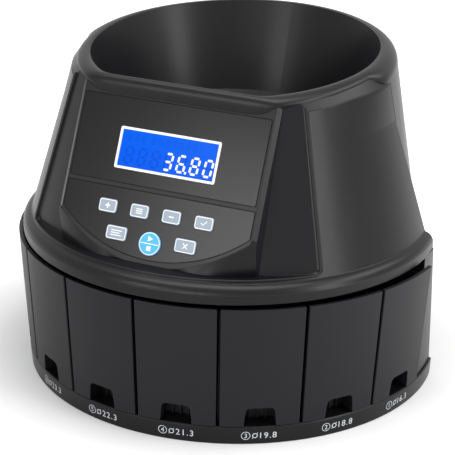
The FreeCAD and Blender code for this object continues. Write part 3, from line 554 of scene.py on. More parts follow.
def ring(centre: Pair, radius: float, width: float, points: int = 40) -> Ribbon:
    """Round stroke: sine and cosine of evenly spaced angles."""
    angle = np.linspace(0.0, 2.0 * math.pi, points, endpoint=False)
    line = np.stack([np.cos(angle), np.sin(angle)], 1) * radius + np.array(centre)
    return Ribbon(line, np.full(points, width), True)


def frame_line(centre: Pair, half: Pair, corner: float, width: float) -> Ribbon:
    """Stroke round a rounded rectangle: four quarter turns moved out to the corners.

    Args:
        centre: Middle of the rectangle.
        half: Half its width and half its height.
        corner: Corner radius.
        width: Width of the stroke.

    Returns:
        The closed stroke.
    """
    quarter = np.arange(4)[:, None] * (math.pi / 2.0)
    angle = np.linspace(0.0, math.pi / 2.0, 7)[None, :] + quarter
    middle = quarter + math.pi / 4.0
    across = np.sign(np.cos(middle)) * (half[0] - corner) + np.cos(angle) * corner
    up = np.sign(np.sin(middle)) * (half[1] - corner) + np.sin(angle) * corner
    line = np.stack([across.ravel(), up.ravel()], 1) + np.array(centre)
    return Ribbon(line, np.full(len(line), width), True)


def eased(value: np.ndarray) -> np.ndarray:
    """Smooth step from 0 to 1: three times the square less twice the cube."""
    share = np.clip(value, 0.0, 1.0)
    return share * share * (3.0 - 2.0 * share)


def bent(ends: Sequence[Any], count: int) -> np.ndarray:
    """Cubic curves with two handles, of one or several profiles at once.

    Args:
        ends: Start, two handles and end, each one (radius, height) row or a row for each profile.
        count: Points on each curve.

    Returns:
        Points by profile and place on the curve.
    """
    t = np.linspace(0.0, 1.0, count)[None, :, None]
    weights = ((1 - t) ** 3, 3 * (1 - t) ** 2 * t, 3 * (1 - t) * t ** 2, t ** 3)
    rows = [np.atleast_2d(np.asarray(end, float))[:, None, :] for end in ends]
    return sum(weight * row for weight, row in zip(weights, rows))


def pairs(radius: np.ndarray, height: np.ndarray) -> np.ndarray:
    """Rows of (radius, height) from two arrays."""
    return np.stack(np.broadcast_arrays(radius, height), 1)


@dataclass
class Console:
    """Sloping console: lit display and key legends, in its own (across, up, out) millimetres.

    A sign is a list of strokes, each with its points and its width or widths.
    """

    origin: Triple = (0.0, -123.94, 190.0)
    lean: float = 24.4
    key_top: float = 0.9
    ink: float = 0.06
    outline: float = 0.6
    outline_inset: float = 0.45
    key_pitch: float = 26.0
    high_row: float = -28.8
    low_row: float = -47.4
    wide_offset: float = 28.0
    key_half: Pair = (7.3, 4.9)
    wide_half: Pair = (8.3, 5.1)
    key_corner: float = 1.5
    round_level: float = -50.6
    round_radius: float = 8.7
    glass: float = -0.35
    play: float = 0.01
    digit_size: Triple = (13.4, 7.4, 1.72)
    digit_pitch: float = 10.7
    digit_right: float = 36.6
    digit_foot: float = 3.2
    digit_slant: float = 0.1
    segment_taper: tuple[float, ...] = (0.25, 1.0, 1.0, 0.25)
    segment_reach: tuple[float, ...] = (-0.02, 0.1, 0.9, 1.02)
    dot_offset: float = 1.2
    digits: str = "   36.80"
    small_cells: int = 10
    small_group: int = 3
    small_left: float = -34.0
    small_pitch: float = 5.6
    small_gap: float = 2.5
    small_foot: float = 20.2
    small_size: Triple = (5.4, 3.4, 0.7)
    shapes: dict[str, str] = field(default_factory=lambda: {
        "0": "abcdef", "1": "bc", "2": "abged", "3": "abgcd", "4": "fgbc", "5": "afgcd", "6": "afgedc",
        "7": "abc", "8": "abcdefg", "9": "abcdfg", " ": ""})
    signs: dict[Mark, list[tuple[list[Pair], Any]]] = field(default_factory=lambda: {
        Mark.PLUS: [([(-2.0, 0.0), (2.0, 0.0)], 0.95), ([(0.0, 2.0), (0.0, 0.48)], 0.95),
                    ([(0.0, -0.48), (0.0, -2.0)], 0.95)],
        Mark.MINUS: [([(-2.0, 0.0), (2.0, 0.0)], 0.95)],
        Mark.STACK: [([(-2.6, d), (2.6, d)], 0.75) for d in (-1.5, 0.0, 1.5)],
        Mark.TICK: [([(-2.2, 0.1), (-0.6, -1.5), (2.4, 1.7)], 0.744)],
        Mark.LINES: [([(-4.4, d), (e, d)], 0.7) for d, e in ((1.7, 4.4), (0.0, 2.8), (-1.7, 4.4))],
        Mark.CROSS: [([(-1.9, -1.9), (1.9, 1.9)], 0.744), ([(-1.9, 1.9), (-0.35, 0.35)], 0.744),
                     ([(0.35, -0.35), (1.9, -1.9)], 0.744)],
        Mark.RUN_HALT: [([(-7.0, 0.0), (7.0, 0.0)], 0.7), ([(-1.7, 3.6), (2.1, 3.6)], (4.2, 0.2)),
                        ([(-1.7, -3.5), (1.7, -3.5)], 3.4)]})

    def placing(self) -> Placing:
        """Turn of the console's frame into the part's frame."""
        tilt = math.radians(self.lean)
        turn = np.array([[1.0, 0.0, 0.0], [0.0, math.sin(tilt), math.cos(tilt)],
                         [0.0, -math.cos(tilt), math.sin(tilt)]])

        def place(flat: np.ndarray) -> np.ndarray:
            """Across, up and out become the console's own directions."""
            return (flat @ turn + np.array(self.origin)) * MM
        return place

    def segments(self, left: float, foot: float, size: Triple) -> dict[str, Ribbon]:
        """Seven segments of one slanted figure.

        Args:
            left: Left side of the figure.
            foot: Its lowest line.
            size: Its height, its width and the width of a segment.

        Returns:
            Segments by their usual letters a to g.
        """
        height, width, stroke = size
        gap = stroke / 2.0
        x0, x1 = left + stroke / 2.0, left + width - stroke / 2.0
        y0, y1, y2 = foot + stroke / 2.0, foot + height / 2.0, foot + height - stroke / 2.0
        ends = {"a": ((x0 + gap, y2), (x1 - gap, y2)), "b": ((x1, y1 + gap), (x1, y2 - gap)),
                "c": ((x1, y0 + gap), (x1, y1 - gap)), "d": ((x0 + gap, y0), (x1 - gap, y0)),
                "e": ((x0, y0 + gap), (x0, y1 - gap)), "f": ((x0, y1 + gap), (x0, y2 - gap)),
                "g": ((x0 + gap, y1), (x1 - gap, y1))}
        taper = np.array(self.segment_taper) * stroke
        share = np.array(self.segment_reach)[:, None]
        made = {}
        for name, (start, end) in ends.items():
            line = np.array(start) + share * (np.array(end) - np.array(start))
            line[:, 0] += (line[:, 1] - foot) * self.digit_slant
            made[name] = Ribbon(line, taper)
        return made

    def display(self, lit: Finish, faint: Finish) -> list[Piece]:
        """Lit figures, and the faint shadows of unlit segments.

        Args:
            lit: Finish of the lit segments.
            faint: Finish of the unlit ones.

        Returns:
            Pieces with the bodies that carry them.
        """
        bright, shadow = (Sheet(self.glass + self.play, self.glass + self.ink) for _ in range(2))
        figures = [c for c in self.digits if c != "."]
        _, width, stroke = self.digit_size
        for place, figure in enumerate(figures):
            left = self.digit_right - width - (len(figures) - 1 - place) * self.digit_pitch
            for name, ribbon in self.segments(left, self.digit_foot, self.digit_size).items():
                target = bright if name in self.shapes[figure] else shadow
                target.stroke(ribbon)
        behind = len(figures) - self.digits.index(".")
        dot = self.digit_right - behind * self.digit_pitch + self.dot_offset
        half = stroke / 2.0
        level = self.digit_foot + half
        bright.stroke(straight((dot - half, level), (dot + half, level), stroke))
        for place in range(self.small_cells):
            left = self.small_left + place * self.small_pitch
            left += self.small_gap if place >= self.small_group else 0.0
            for ribbon in self.segments(left, self.small_foot, self.small_size).values():
                shadow.stroke(ribbon)
        return [(bright.build("display_figures", self.placing(), lit.material()), "base"),
                (shadow.build("display_unlit_segments", self.placing(), faint.material()), "base")]

    def legend(self, mark: Mark, border: Ribbon, centre: Pair, ink: bpy.types.Material) -> Piece:
        """White outline and sign of one key.

        Args:
            mark: The sign, which also tells the key.
            border: The outline.
            centre: Middle of the key.
            ink: Finish of the print.

        Returns:
            The piece with the body that carries it.
        """
        sheet = Sheet(self.key_top, self.key_top + self.ink)
        sheet.stroke(border)
        for points, width in self.signs[mark]:
            sheet.stroke(Ribbon(np.array(points) + np.array(centre), np.broadcast_to(width, len(points))))
        return sheet.build("legend_" + mark.value, self.placing(), ink), "button_" + mark.value

    def legends(self, ink: bpy.types.Material) -> list[Piece]:
        """Prints of all the keys.

        Args:
            ink: Finish of the print.

        Returns:
            Pieces with the bodies that carry them.
        """
        keys = [(mark, ((place - 1.5) * self.key_pitch, self.high_row), self.key_half)
                for place, mark in enumerate((Mark.PLUS, Mark.STACK, Mark.MINUS, Mark.TICK))]
        keys += [(mark, (side * self.wide_offset, self.low_row), self.wide_half)
                 for side, mark in ((-1.0, Mark.LINES), (1.0, Mark.CROSS))]
        made = []
        inset = self.outline_inset + self.outline / 2.0
        for mark, centre, half in keys:
            border = frame_line(centre, (half[0] - inset, half[1] - inset), self.key_corner, self.outline)
            made.append(self.legend(mark, border, centre, ink))
        centre = (0.0, self.round_level)
        border = ring(centre, self.round_radius - inset, self.outline, points=64)
        return made + [self.legend(Mark.RUN_HALT, border, centre, ink)]


@dataclass
class ShellTrim:
    """Thin mouldings of the shell: lip, skirt nose, seam blends, bead and console aprons, in millimetres.

    Cones are given as foot radius, taper, foot height and height. Profiles are (radius, height) points.
    """

    axis: float = -7.75
    front: tuple[float, ...] = (158.0, 36.0, 126.3, 123.7)
    rear: tuple[float, ...] = (147.7, 24.2, 122.4, 142.6)
    seam_depth: float = -4.78
    seam_rake: float = 0.137
    seam_top: float = 250.0
    rim_height: float = 259.3
    rim_slope: float = 0.09
    strip_start: Pair = (118.45, -1.75)
    strip_run: float = 6.0 / 8.2
    crease: float = 32.0

    lip_rows: int = 420
    lip_points: int = 18
    tip: Pair = (80.0, 92.0)
    hopper_edge: float = 111.29
    hopper_shift: float = 0.02823
    edge_level: float = 112.1
    edge_fall: float = 0.245
    lip_foot: Pair = (-4.2, -8.6)
    sink_turn: Pair = (100.0, 150.0)
    rear_guess: float = 125.0
    rear_rounds: int = 4
    lip_inset: Pair = (0.3, 0.12)
    lip_swell: Triple = (119.3, 0.3, 0.6)
    lip_rise: Triple = (0.8, -0.2, -1.4)
    lip_edge: tuple[tuple[float, ...], ...] = ((-0.2, 0.5, -0.7, 0.2), (0.4, 1.2, 1.6, -1.35))
    under_foot: tuple[Triple, ...] = ((-1.6, -2.7, 2.0), (-3.4, -1.4, 0.0))
    under_middle: Pair = (-1.0, -1.2)
    under_edge: Pair = (0.9, -1.6)
    flat_curve: tuple[Pair, ...] = ((88.1, -0.7), (88.4, 1.5), (94.6, 1.0), (94.9, -6.4))
    flat_under: tuple[Pair, ...] = ((94.3, -11.9), (91.25, -10.4), (89.45, -3.05), (88.85, -1.1))
    corner_power: float = 48.0
    corner_meet: float = 91.5 / 114.0
    least_cosine: float = 0.2

    nose_rows: int = 241
    nose_points: tuple[int, int] = (7, 14)
    seam_play: float = 0.001
    hollow: tuple[Pair, ...] = ((156.95, 129.7), (157.25, 128.6), (157.5, 128.0), (158.1, 127.8))
    swell: tuple[Pair, ...] = ((158.1, 127.8), (161.0, 127.0), (164.22, 124.6), (164.22, 119.5))
    nose_inside: tuple[Pair, ...] = ((164.22, 114.8), (163.2, 115.0), (162.9, 120.6), (161.5, 121.9),
                                     (157.2, 125.2), (156.0, 129.2))

    blend_rows: int = 25
    blend_points: int = 22
    strip_points: int = 5
    blend_start: float = 55.0
    blend_low: float = 212.0
    blend_high: float = 244.0
    blend_rounds: int = 12
    blend_sunk: float = 0.08
    blend_rise: Triple = (-0.6, 0.68, 0.45)
    blend_inside: Triple = (119.6, 119.4, 0.291)
    blend_wall: Pair = (1.3, 1.2)

    bead_angle: float = 49.75
    bead_high: float = 244.5
    bead_low: float = 130.0
    bead_corner: float = 5.0
    bead_sunk: Pair = (0.35, 0.75)
    bead_radius: float = 0.95
    bead_tilt: float = 0.29
    bead_steps: tuple[int, int, int] = (30, 9, 39)
    bead_sides: int = 12

    apron_rows: int = 40
    apron_points: int = 9
    apron_halvings: int = 40
    apron_start: float = 19.5
    apron_ease: float = 34.0
    apron_half: float = 79.96
    apron_floor: float = 130.04
    apron_foot: float = 149.3
    apron_play: float = 0.05
    apron_sunk: float = 0.3
    apron_wall: float = 0.8
    flank_foot: float = 144.5
    flank_flare: float = 0.3
    face_depth: float = 116.19
    face_level: float = 190.0
    face_lean: float = 24.4

    @staticmethod
    def cone(sizes: Sequence[float], z: np.ndarray) -> np.ndarray:
        """Radius of a cone at a height."""
        foot, taper, low, height = sizes
        return foot - taper * (z - low) / height

    def seam_angle(self, radius: np.ndarray, z: np.ndarray) -> np.ndarray:
        """Angle from the front at which a radius reaches the raked side seam."""
        depth = self.seam_depth + self.seam_rake * (self.seam_top - z)
        return np.arccos(np.clip(-(depth - self.axis) / radius, -1.0, 1.0))

    def level(self, radius: np.ndarray, angle: np.ndarray) -> np.ndarray:
        """Height of the tilted rim plane at a radius and an angle."""
        return self.rim_height + self.rim_slope * (self.axis - radius * np.cos(angle))

    def point(self, radius: np.ndarray, angle: np.ndarray, z: np.ndarray) -> np.ndarray:
        """Point about the shell's axis from its radius, its angle from the front and its height."""
        radius, angle, z = np.broadcast_arrays(radius, angle, z)
        return np.stack([radius * np.sin(angle), self.axis - radius * np.cos(angle), z], -1)

    def strip_drop(self, radius: np.ndarray, raised: np.ndarray) -> np.ndarray:
        """Height from the rim plane of the sloping strip under the lip, set out by a little."""
        return self.strip_start[1] - (radius - self.strip_start[0] - raised) / self.strip_run

    def lip_profile(self, angle: np.ndarray) -> np.ndarray:
        """Profile of the lip where it is round.

        It is a cubic curve from the hopper's edge out to the sloping strip, or behind the seams to the rear
        shell, and then some points back inside the shell. At the back it sinks a little.

        Args:
            angle: Angles from the front.

        Returns:
            Points by angle and place on the profile, with heights from the rim plane.
        """
        turned = np.degrees(np.abs(angle))
        back = eased((turned - self.tip[0]) / (self.tip[1] - self.tip[0]))
        sunk = eased((turned - self.sink_turn[0]) / (self.sink_turn[1] - self.sink_turn[0]))
        edge = self.hopper_edge / (1.0 + self.hopper_shift * np.cos(angle))
        top = -np.maximum(edge - self.edge_level, 0.0) * self.edge_fall
        foot = self.lip_foot[0] + self.lip_foot[1] * back
        rear = np.full_like(angle, self.rear_guess)
        for _ in range(self.rear_rounds):
            rear = self.cone(self.rear, self.level(rear, angle) + sum(self.lip_foot))
        strip = self.strip_start[0] - (foot - self.strip_start[1]) * self.strip_run
        outer = (1.0 - back) * (strip - self.lip_inset[0]) + back * (rear - self.lip_inset[1])
        ahead, behind, lower = self.lip_swell
        swell = (1.0 - back) * ahead + back * (rear + behind + lower * sunk)
        rise = self.lip_rise[0] + self.lip_rise[1] * back + self.lip_rise[2] * sunk
        ends = [pairs(edge + a + b * sunk, top + c + d * sunk) for a, b, c, d in self.lip_edge]
        curve = bent([*ends, pairs(swell, rise), pairs(outer, foot)], self.lip_points)
        under = [pairs(outer + a, foot + b + c * back) for a, b, c in self.under_foot]
        under.append(pairs((edge + outer) / 2.0 + self.under_middle[0], foot / 2.0 + self.under_middle[1]))
        under.append(pairs(edge + self.under_edge[0], top + self.under_edge[1]))
        return np.concatenate([curve, np.stack(under, 1)], 1)

    def lip(self) -> Sheet:
        """Rounded lip that follows the round hopper and its flat front.

        Over the flat front the profile's points lie at set distances, so their radius there is the distance
        over the cosine of the angle. A high-power mean of the two radii rounds the corners.

        Returns:
            The lip, as one ring.
        """
        angle = np.linspace(-math.pi, math.pi, self.lip_rows, endpoint=False)
        rounded = self.lip_profile(angle)
        flat = np.concatenate([bent(self.flat_curve, self.lip_points)[0], self.flat_under])
        ahead = np.maximum(np.cos(angle), self.least_cosine)[:, None]
        power = self.corner_power
        radius = rounded[..., 0] * (1.0 + (rounded[..., 0] * ahead / flat[:, 0]) ** power) ** (-1.0 / power)
        share = 1.0 / (1.0 + (self.corner_meet / ahead) ** power)
        height = share * flat[:, 1] + (1.0 - share) * rounded[..., 1]
        around = angle[:, None]
        return Sheet().loft(self.point(radius, around, self.level(radius, around) + height), True)

    def nose(self) -> Sheet:
        """Rounded nose of the skirt: a swelling and a hollow up to the cone, ended at the side seams.

        Returns:
            The nose.
        """
        high, low = (bent(ends, count)[0] for ends, count in zip((self.hollow, self.swell), self.nose_points))
        profile = np.concatenate([high, low[1:], self.nose_inside])
        limit = self.seam_angle(profile[:, 0], profile[:, 1]) - self.seam_play
        angle = np.linspace(-1.0, 1.0, self.nose_rows)[:, None] * limit
        return Sheet().loft(self.point(profile[:, 0], angle, profile[:, 1]))

    def blend(self, side: float) -> Sheet:
        """Shell faired up to where the rear stands proud of the front, ahead of one side seam.

        The radius is the front cone's plus an eased share, by angle, of what the rear cone stands above it.
        Its top follows the sloping strip, whose line meets that radius after some rounds of substitution.

        Args:
            side: 1 for the right and -1 for the left.

        Returns:
            The blend.
        """
        along = np.linspace(0.0, 1.0, self.blend_rows)[:, None]
        down = np.linspace(0.0, 1.0, self.blend_points)[None, :]
        start = math.radians(self.blend_start)

        def turned(z: np.ndarray) -> np.ndarray:
            """Angle at a share of the way to the seam."""
            return start + along * (self.seam_angle(self.cone(self.rear, z), z) - start)

        def faired(z: np.ndarray) -> np.ndarray:
            """Radius at a share of the way to the seam."""
            plain = self.cone(self.front, z)
            return plain + np.maximum(self.cone(self.rear, z) - plain, 0.0) * eased(along) - self.blend_sunk

        raised = self.blend_rise[0] + self.blend_rise[1] * eased(along / self.blend_rise[2])
        high = np.full_like(along, self.blend_high)
        for _ in range(self.blend_rounds):
            radius = faired(high)
            high = self.level(radius, turned(high)) + self.strip_drop(radius, raised)
        z = self.blend_low + down * (high - self.blend_low)
        outer = self.point(faired(z), turned(z), z)
        strip_end, inner_top, inner_slope = self.blend_inside
        inward = np.arange(1, self.strip_points + 1) / self.strip_points
        radius = faired(high) + inward * (strip_end - faired(high))
        drop = self.strip_drop(radius, raised)
        strip = self.point(radius, turned(high), self.level(radius, turned(high)) + drop)
        wall, sunk = self.blend_wall
        back = z[:, ::-1] - sunk * down[:, ::-1]
        inside = np.minimum(self.cone(self.front, back) - wall, inner_top + inner_slope * (high - back))
        inner = self.point(inside, turned(back), back)
        return Sheet().loft(np.concatenate([outer, strip, inner], 1) * np.array([side, 1.0, 1.0]))

    def bead(self) -> Sheet:
        """Slim round bead along the edge of the sunk front: down one border, along its foot, up the other.

        The right half is a line of angles and heights on the cone, with a quarter round at the corner, and
        the left half is its mirror image. A circle is carried along it, square to the line.

        Returns:
            The bead.
        """
        down, corner, along = self.bead_steps
        reach = np.degrees(self.bead_corner / self.cone(self.front, self.bead_low))
        foot = self.bead_low + self.bead_corner
        turn = np.linspace(0.0, math.pi / 2.0, corner)
        bent_in = self.bead_angle - reach * (1.0 - np.cos(turn))
        angle = np.concatenate([np.full(down, self.bead_angle), bent_in,
                                np.linspace(self.bead_angle - reach, 0.0, along + 1)[1:]])
        z = np.concatenate([np.linspace(self.bead_high, foot, down + 1)[:-1],
                            foot - self.bead_corner * np.sin(turn), np.full(along, self.bead_low)])
        angle, z = np.radians(np.concatenate([angle, -angle[-2::-1]])), np.concatenate([z, z[-2::-1]])
        sunk = self.bead_sunk[0] + self.bead_sunk[1] * eased((z - self.bead_low) / self.bead_corner)
        line = self.point(self.cone(self.front, z) - sunk, angle, z)
        ahead = np.gradient(line, axis=0)
        ahead = ahead / np.linalg.norm(ahead, axis=1, keepdims=True)
        out = np.stack([np.sin(angle), -np.cos(angle), np.full_like(angle, self.bead_tilt)], 1)
        out = out - np.sum(out * ahead, 1, keepdims=True) * ahead
        out = out / np.linalg.norm(out, axis=1, keepdims=True)
        across = np.cross(ahead, out)
        around = np.linspace(0.0, 2.0 * math.pi, self.bead_sides, endpoint=False)[None, :, None]
        circle = np.cos(around) * out[:, None, :] + np.sin(around) * across[:, None, :]
        return Sheet().loft(line[:, None, :] + self.bead_radius * circle)

    def flank(self, z: np.ndarray) -> np.ndarray:
        """Radius of the console's undercut flank at a height."""
        return self.flank_foot + self.flank_flare * (z - self.apron_floor)

    def apron(self, side: float) -> Sheet:
        """Steeper flank under one side of the console, over the undercut one.

        At each place across, the console's sloping face meets the undercut flank at a height found by
        halving. From there the apron runs straight down to its own foot on the floor of the sunk front, and
        back inside the flank. Towards the middle it eases into the flank.

        Args:
            side: 1 for the right and -1 for the left.

        Returns:
            The apron.
        """
        u = np.linspace(self.apron_start, self.apron_half, self.apron_rows)
        low, high = np.full_like(u, self.apron_floor), np.full_like(u, self.face_level)
        for _ in range(self.apron_halvings):
            middle = (low + high) / 2.0
            ahead = self.face_depth + (self.face_level - middle) * math.tan(math.radians(self.face_lean))
            above = np.hypot(u, ahead) < self.flank(middle)
            low, high = np.where(above, low, middle), np.where(above, middle, high)
        top = (low - self.apron_play)[:, None]
        down = np.linspace(0.0, 1.0, self.apron_points)[None, :]
        z = top + down * (self.apron_floor - top)
        share = eased((u - self.apron_start) / self.apron_ease)[:, None]
        reach = (self.apron_foot - self.flank(top)) * share - (1.0 - share) * self.apron_sunk
        outer = self.flank(top) + down * reach
        inner = self.flank(z[:, ::-1]) - self.apron_wall
        radius, z = np.concatenate([outer, inner], 1), np.concatenate([z, z[:, ::-1]], 1)
        angle = np.arcsin(u[:, None] / radius)
        return Sheet().loft(self.point(radius, angle, z) * np.array([side, 1.0, 1.0]))

    def pieces(self, material: bpy.types.Material) -> list[Piece]:
        """Build the trim.

        Args:
            material: Finish of the shell.

        Returns:
            Pieces with the bodies that carry them.
        """
        def place(rows: np.ndarray) -> np.ndarray:
            """Millimetres become metres."""
            return rows * MM
        sheets = {"hopper_lip": self.lip(), "skirt_nose": self.nose(), "seam_blend_right": self.blend(1.0),
                  "seam_blend_left": self.blend(-1.0), "recess_bead": self.bead(),
                  "console_apron_right": self.apron(1.0), "console_apron_left": self.apron(-1.0)}
        return [(sheet.build(name, place, material, self.crease), "base") for name, sheet in sheets.items()]


@dataclass
class BaseBand:
    """Printed band under the trays: a ringed tray number and the coin diameter of that tray."""

    base_radius: float = 165.0
    flare: float = 7.0 / 111.0
    level: float = 7.3
    span: float = 172.0
    ink: float = 0.05
    number_place: float = -10.2
    number: float = 3.7
    ring_radius: float = 3.2
    ring_width: float = 0.42
    sign_place: float = -3.4
    sign_radius: float = 1.75
    sign_width: float = 0.62
    bar_width: float = 0.5
    bars: tuple[tuple[Pair, Pair], ...] = (((-5.4, -2.4), (-4.85, -1.75)), ((-1.95, 1.75), (-1.4, 2.4)))
    figure_place: float = 6.6
    figure: float = 4.9
    spacing: float = 1.18
    diameters: tuple[float, ...] = (16.3, 18.8, 19.8, 21.3, 22.3, 23.3, 24.3, 25.8)

    def placing(self, angle: float) -> Placing:
        """Wrap of flat (along, up, out) rows round the flared band at an angle from the front.

        Args:
            angle: Middle of the print in degrees, positive towards the right.

        Returns:
            The wrap.
        """
        def wrap(flat: np.ndarray) -> np.ndarray:
            """Along is arc length, up is height and out is added to the radius."""
            height = flat[:, 1] + self.level
            radius = self.base_radius + self.flare * height + flat[:, 2]
            turn = math.radians(angle) + flat[:, 0] / self.base_radius
            return np.stack([radius * np.sin(turn), -radius * np.cos(turn), height], 1) * MM
        return wrap

    def labels(self, ink: bpy.types.Material) -> list[Piece]:
        """One print for each tray.

        Args:
            ink: Finish of the print.

        Returns:
            Pieces with the bodies that carry them.
        """
        pitch = self.span / len(self.diameters)
        made = []
        for index, diameter in enumerate(self.diameters):
            sheet = Sheet(0.0, self.ink)
            number = (self.number_place, 0.0)
            sheet.stroke(ring(number, self.ring_radius, self.ring_width))
            sheet.text(str(index + 1), self.number, number)
            sheet.stroke(ring((self.sign_place, 0.0), self.sign_radius, self.sign_width, points=28))
            for start, end in self.bars:
                sheet.stroke(straight(start, end, self.bar_width))
            sheet.text("%.1f" % diameter, self.figure, (self.figure_place, 0.0), self.spacing)
            placing = self.placing(self.span / 2.0 - (index + 0.5) * pitch)
            made.append((sheet.build("band_label_%d" % (index + 1), placing, ink), "base"))
        return made


@dataclass
class MainsSwitch:
    """Marks on the rocker of the mains switch: the usual bar and ring."""

    pivot: Triple = (14.0, 132.424, 42.0)
    turn: float = -8.0
    face: float = 3.2
    face_rise: float = 1.4 / 7.4
    ink: float = 0.05
    mark_place: float = 4.2
    bar_half: float = 2.0
    bar_width: float = 0.6
    ring_radius: float = 1.6
    ring_width: float = 0.5

    def place(self, flat: np.ndarray) -> np.ndarray:
        """Turn of flat (across, up, out) rows onto the rocker's two sloping faces.

        Across runs towards -X, as seen from behind, and the whole rocker is turned about its pivot.

        Args:
            flat: The rows.

        Returns:
            Points of the part's frame.
        """
        x = -flat[:, 0]
        y = self.face + np.abs(x) * self.face_rise + flat[:, 2]
        a = math.radians(self.turn)
        rows = [x * math.cos(a) - y * math.sin(a), x * math.sin(a) + y * math.cos(a), flat[:, 1]]
        return (np.stack(rows, 1) + np.array(self.pivot)) * MM

    def marks(self, ink: bpy.types.Material) -> list[Piece]:
        """Build the bar and the ring.

        Args:
            ink: Finish of the marks.

        Returns:
            Pieces with the bodies that carry them.
        """
        sheet = Sheet(0.0, self.ink)
        place, half = self.mark_place, self.bar_half
        sheet.stroke(straight((-place, -half), (-place, half), self.bar_width))
        sheet.stroke(ring((place, 0.0), self.ring_radius, self.ring_width, points=28))
        return [(sheet.build("rocker_marks", self.place, ink), "rocker")]


@dataclass
class Housing:
    """Finishes of all the solids that come with the frame."""

    black: Triple = (0.0048, 0.0047, 0.0057)
    tray: Triple = (0.0062, 0.0061, 0.0078)
    panel: Triple = (0.0042, 0.0041, 0.0049)
    tray_count: int = 8

    def finishes(self) -> list[tuple[Finish, list[str]]]:
        """Finish of every solid.

        Returns:
            Pairs of a finish and the node names that take it.
        """
        trays = ["coin_tray_%d" % (i + 1) for i in range(self.tray_count)]
        keys = ["key_" + k for k in ("plus", "batch", "minus", "set", "report", "clear")]
        steel = ["base_screws", "keypad_screws", "console_screws", "shell_screws", "motor_screws", "spindle"]
        return [
            (MouldedPlastic("housing_black", self.black),
             ["front_shell", "rear_shell", "hopper_bowl", "console_housing", "rear_wall", "base_plinth"]),
            (MouldedPlastic("tray_black", self.tray, 0.46, grain=0.4 * MM, edge_radius=0.6 * MM), trays),
            (MouldedPlastic("inner_black", (0.008, 0.008, 0.009), 0.55, specular=0.35),
             ["deck_posts", "bay_frame", "base_cover", "sorting_deck", "feed_disc", "sweeper_rotor",
              "coin_sensors", "board_spacers"]),
            (MattFilm("panel_film", self.panel), ["display_plate", "keypad_overlay"]),
            (Ink("display_border", (0.88, 0.89, 0.9), 0.35), ["display_frame"]),
            (Backlight("display_blue", (0.0, 0.1, 0.8), end=(0.0, 0.115, 0.82)), ["display_module"]),
            (Silicone("key_grey", (0.28, 0.34, 0.41)), keys),
            (Silicone("key_blue", (0.05, 0.42, 0.86)), ["key_start_stop"]),
            (Silicone("pad_rubber", (0.011, 0.011, 0.011), 0.7), ["anti_slip_pads", "feed_pad"]),
            (Metal("bright_steel", (0.58, 0.58, 0.6)), steel),
            (Metal("cap_steel", (0.5, 0.5, 0.52), 0.28, stretch=(0.3, 0.3, 1.0)), ["disc_cap_screw"]),
            (Metal("sintered_bronze", (0.5, 0.34, 0.17), 0.45), ["spindle_bushes"]),
            (Metal("motor_steel", (0.46, 0.46, 0.48), 0.4), ["gear_motor", "motor_bracket"]),
            (Metal("pressed_sheet", (0.6, 0.61, 0.62), 0.42, stretch=(0.08, 1.0, 1.0)), ["power_supply"]),
            (SolderMask("board_green", (0.01, 0.09, 0.035)), ["main_board", "keypad_board"]),
            (MouldedPlastic("socket_black", (0.01, 0.01, 0.011), 0.3, grain=0.9 * MM),
             ["power_inlet", "switch_body", "switch_rocker"]),
            (Metal("pin_brass", (0.72, 0.55, 0.26), 0.25), ["inlet_pins"])]

    def dress(self, nodes: dict[str, bpy.types.Object]) -> None:
        """Give every solid its finish.

        Args:
            nodes: The frame's solids by name.
        """
        for finish, names in self.finishes():
            material = finish.material()
            for name in names:
                nodes[name].data.materials.clear()
                nodes[name].data.materials.append(material)
                LOG.info("finished %s in %s", name, finish.name)


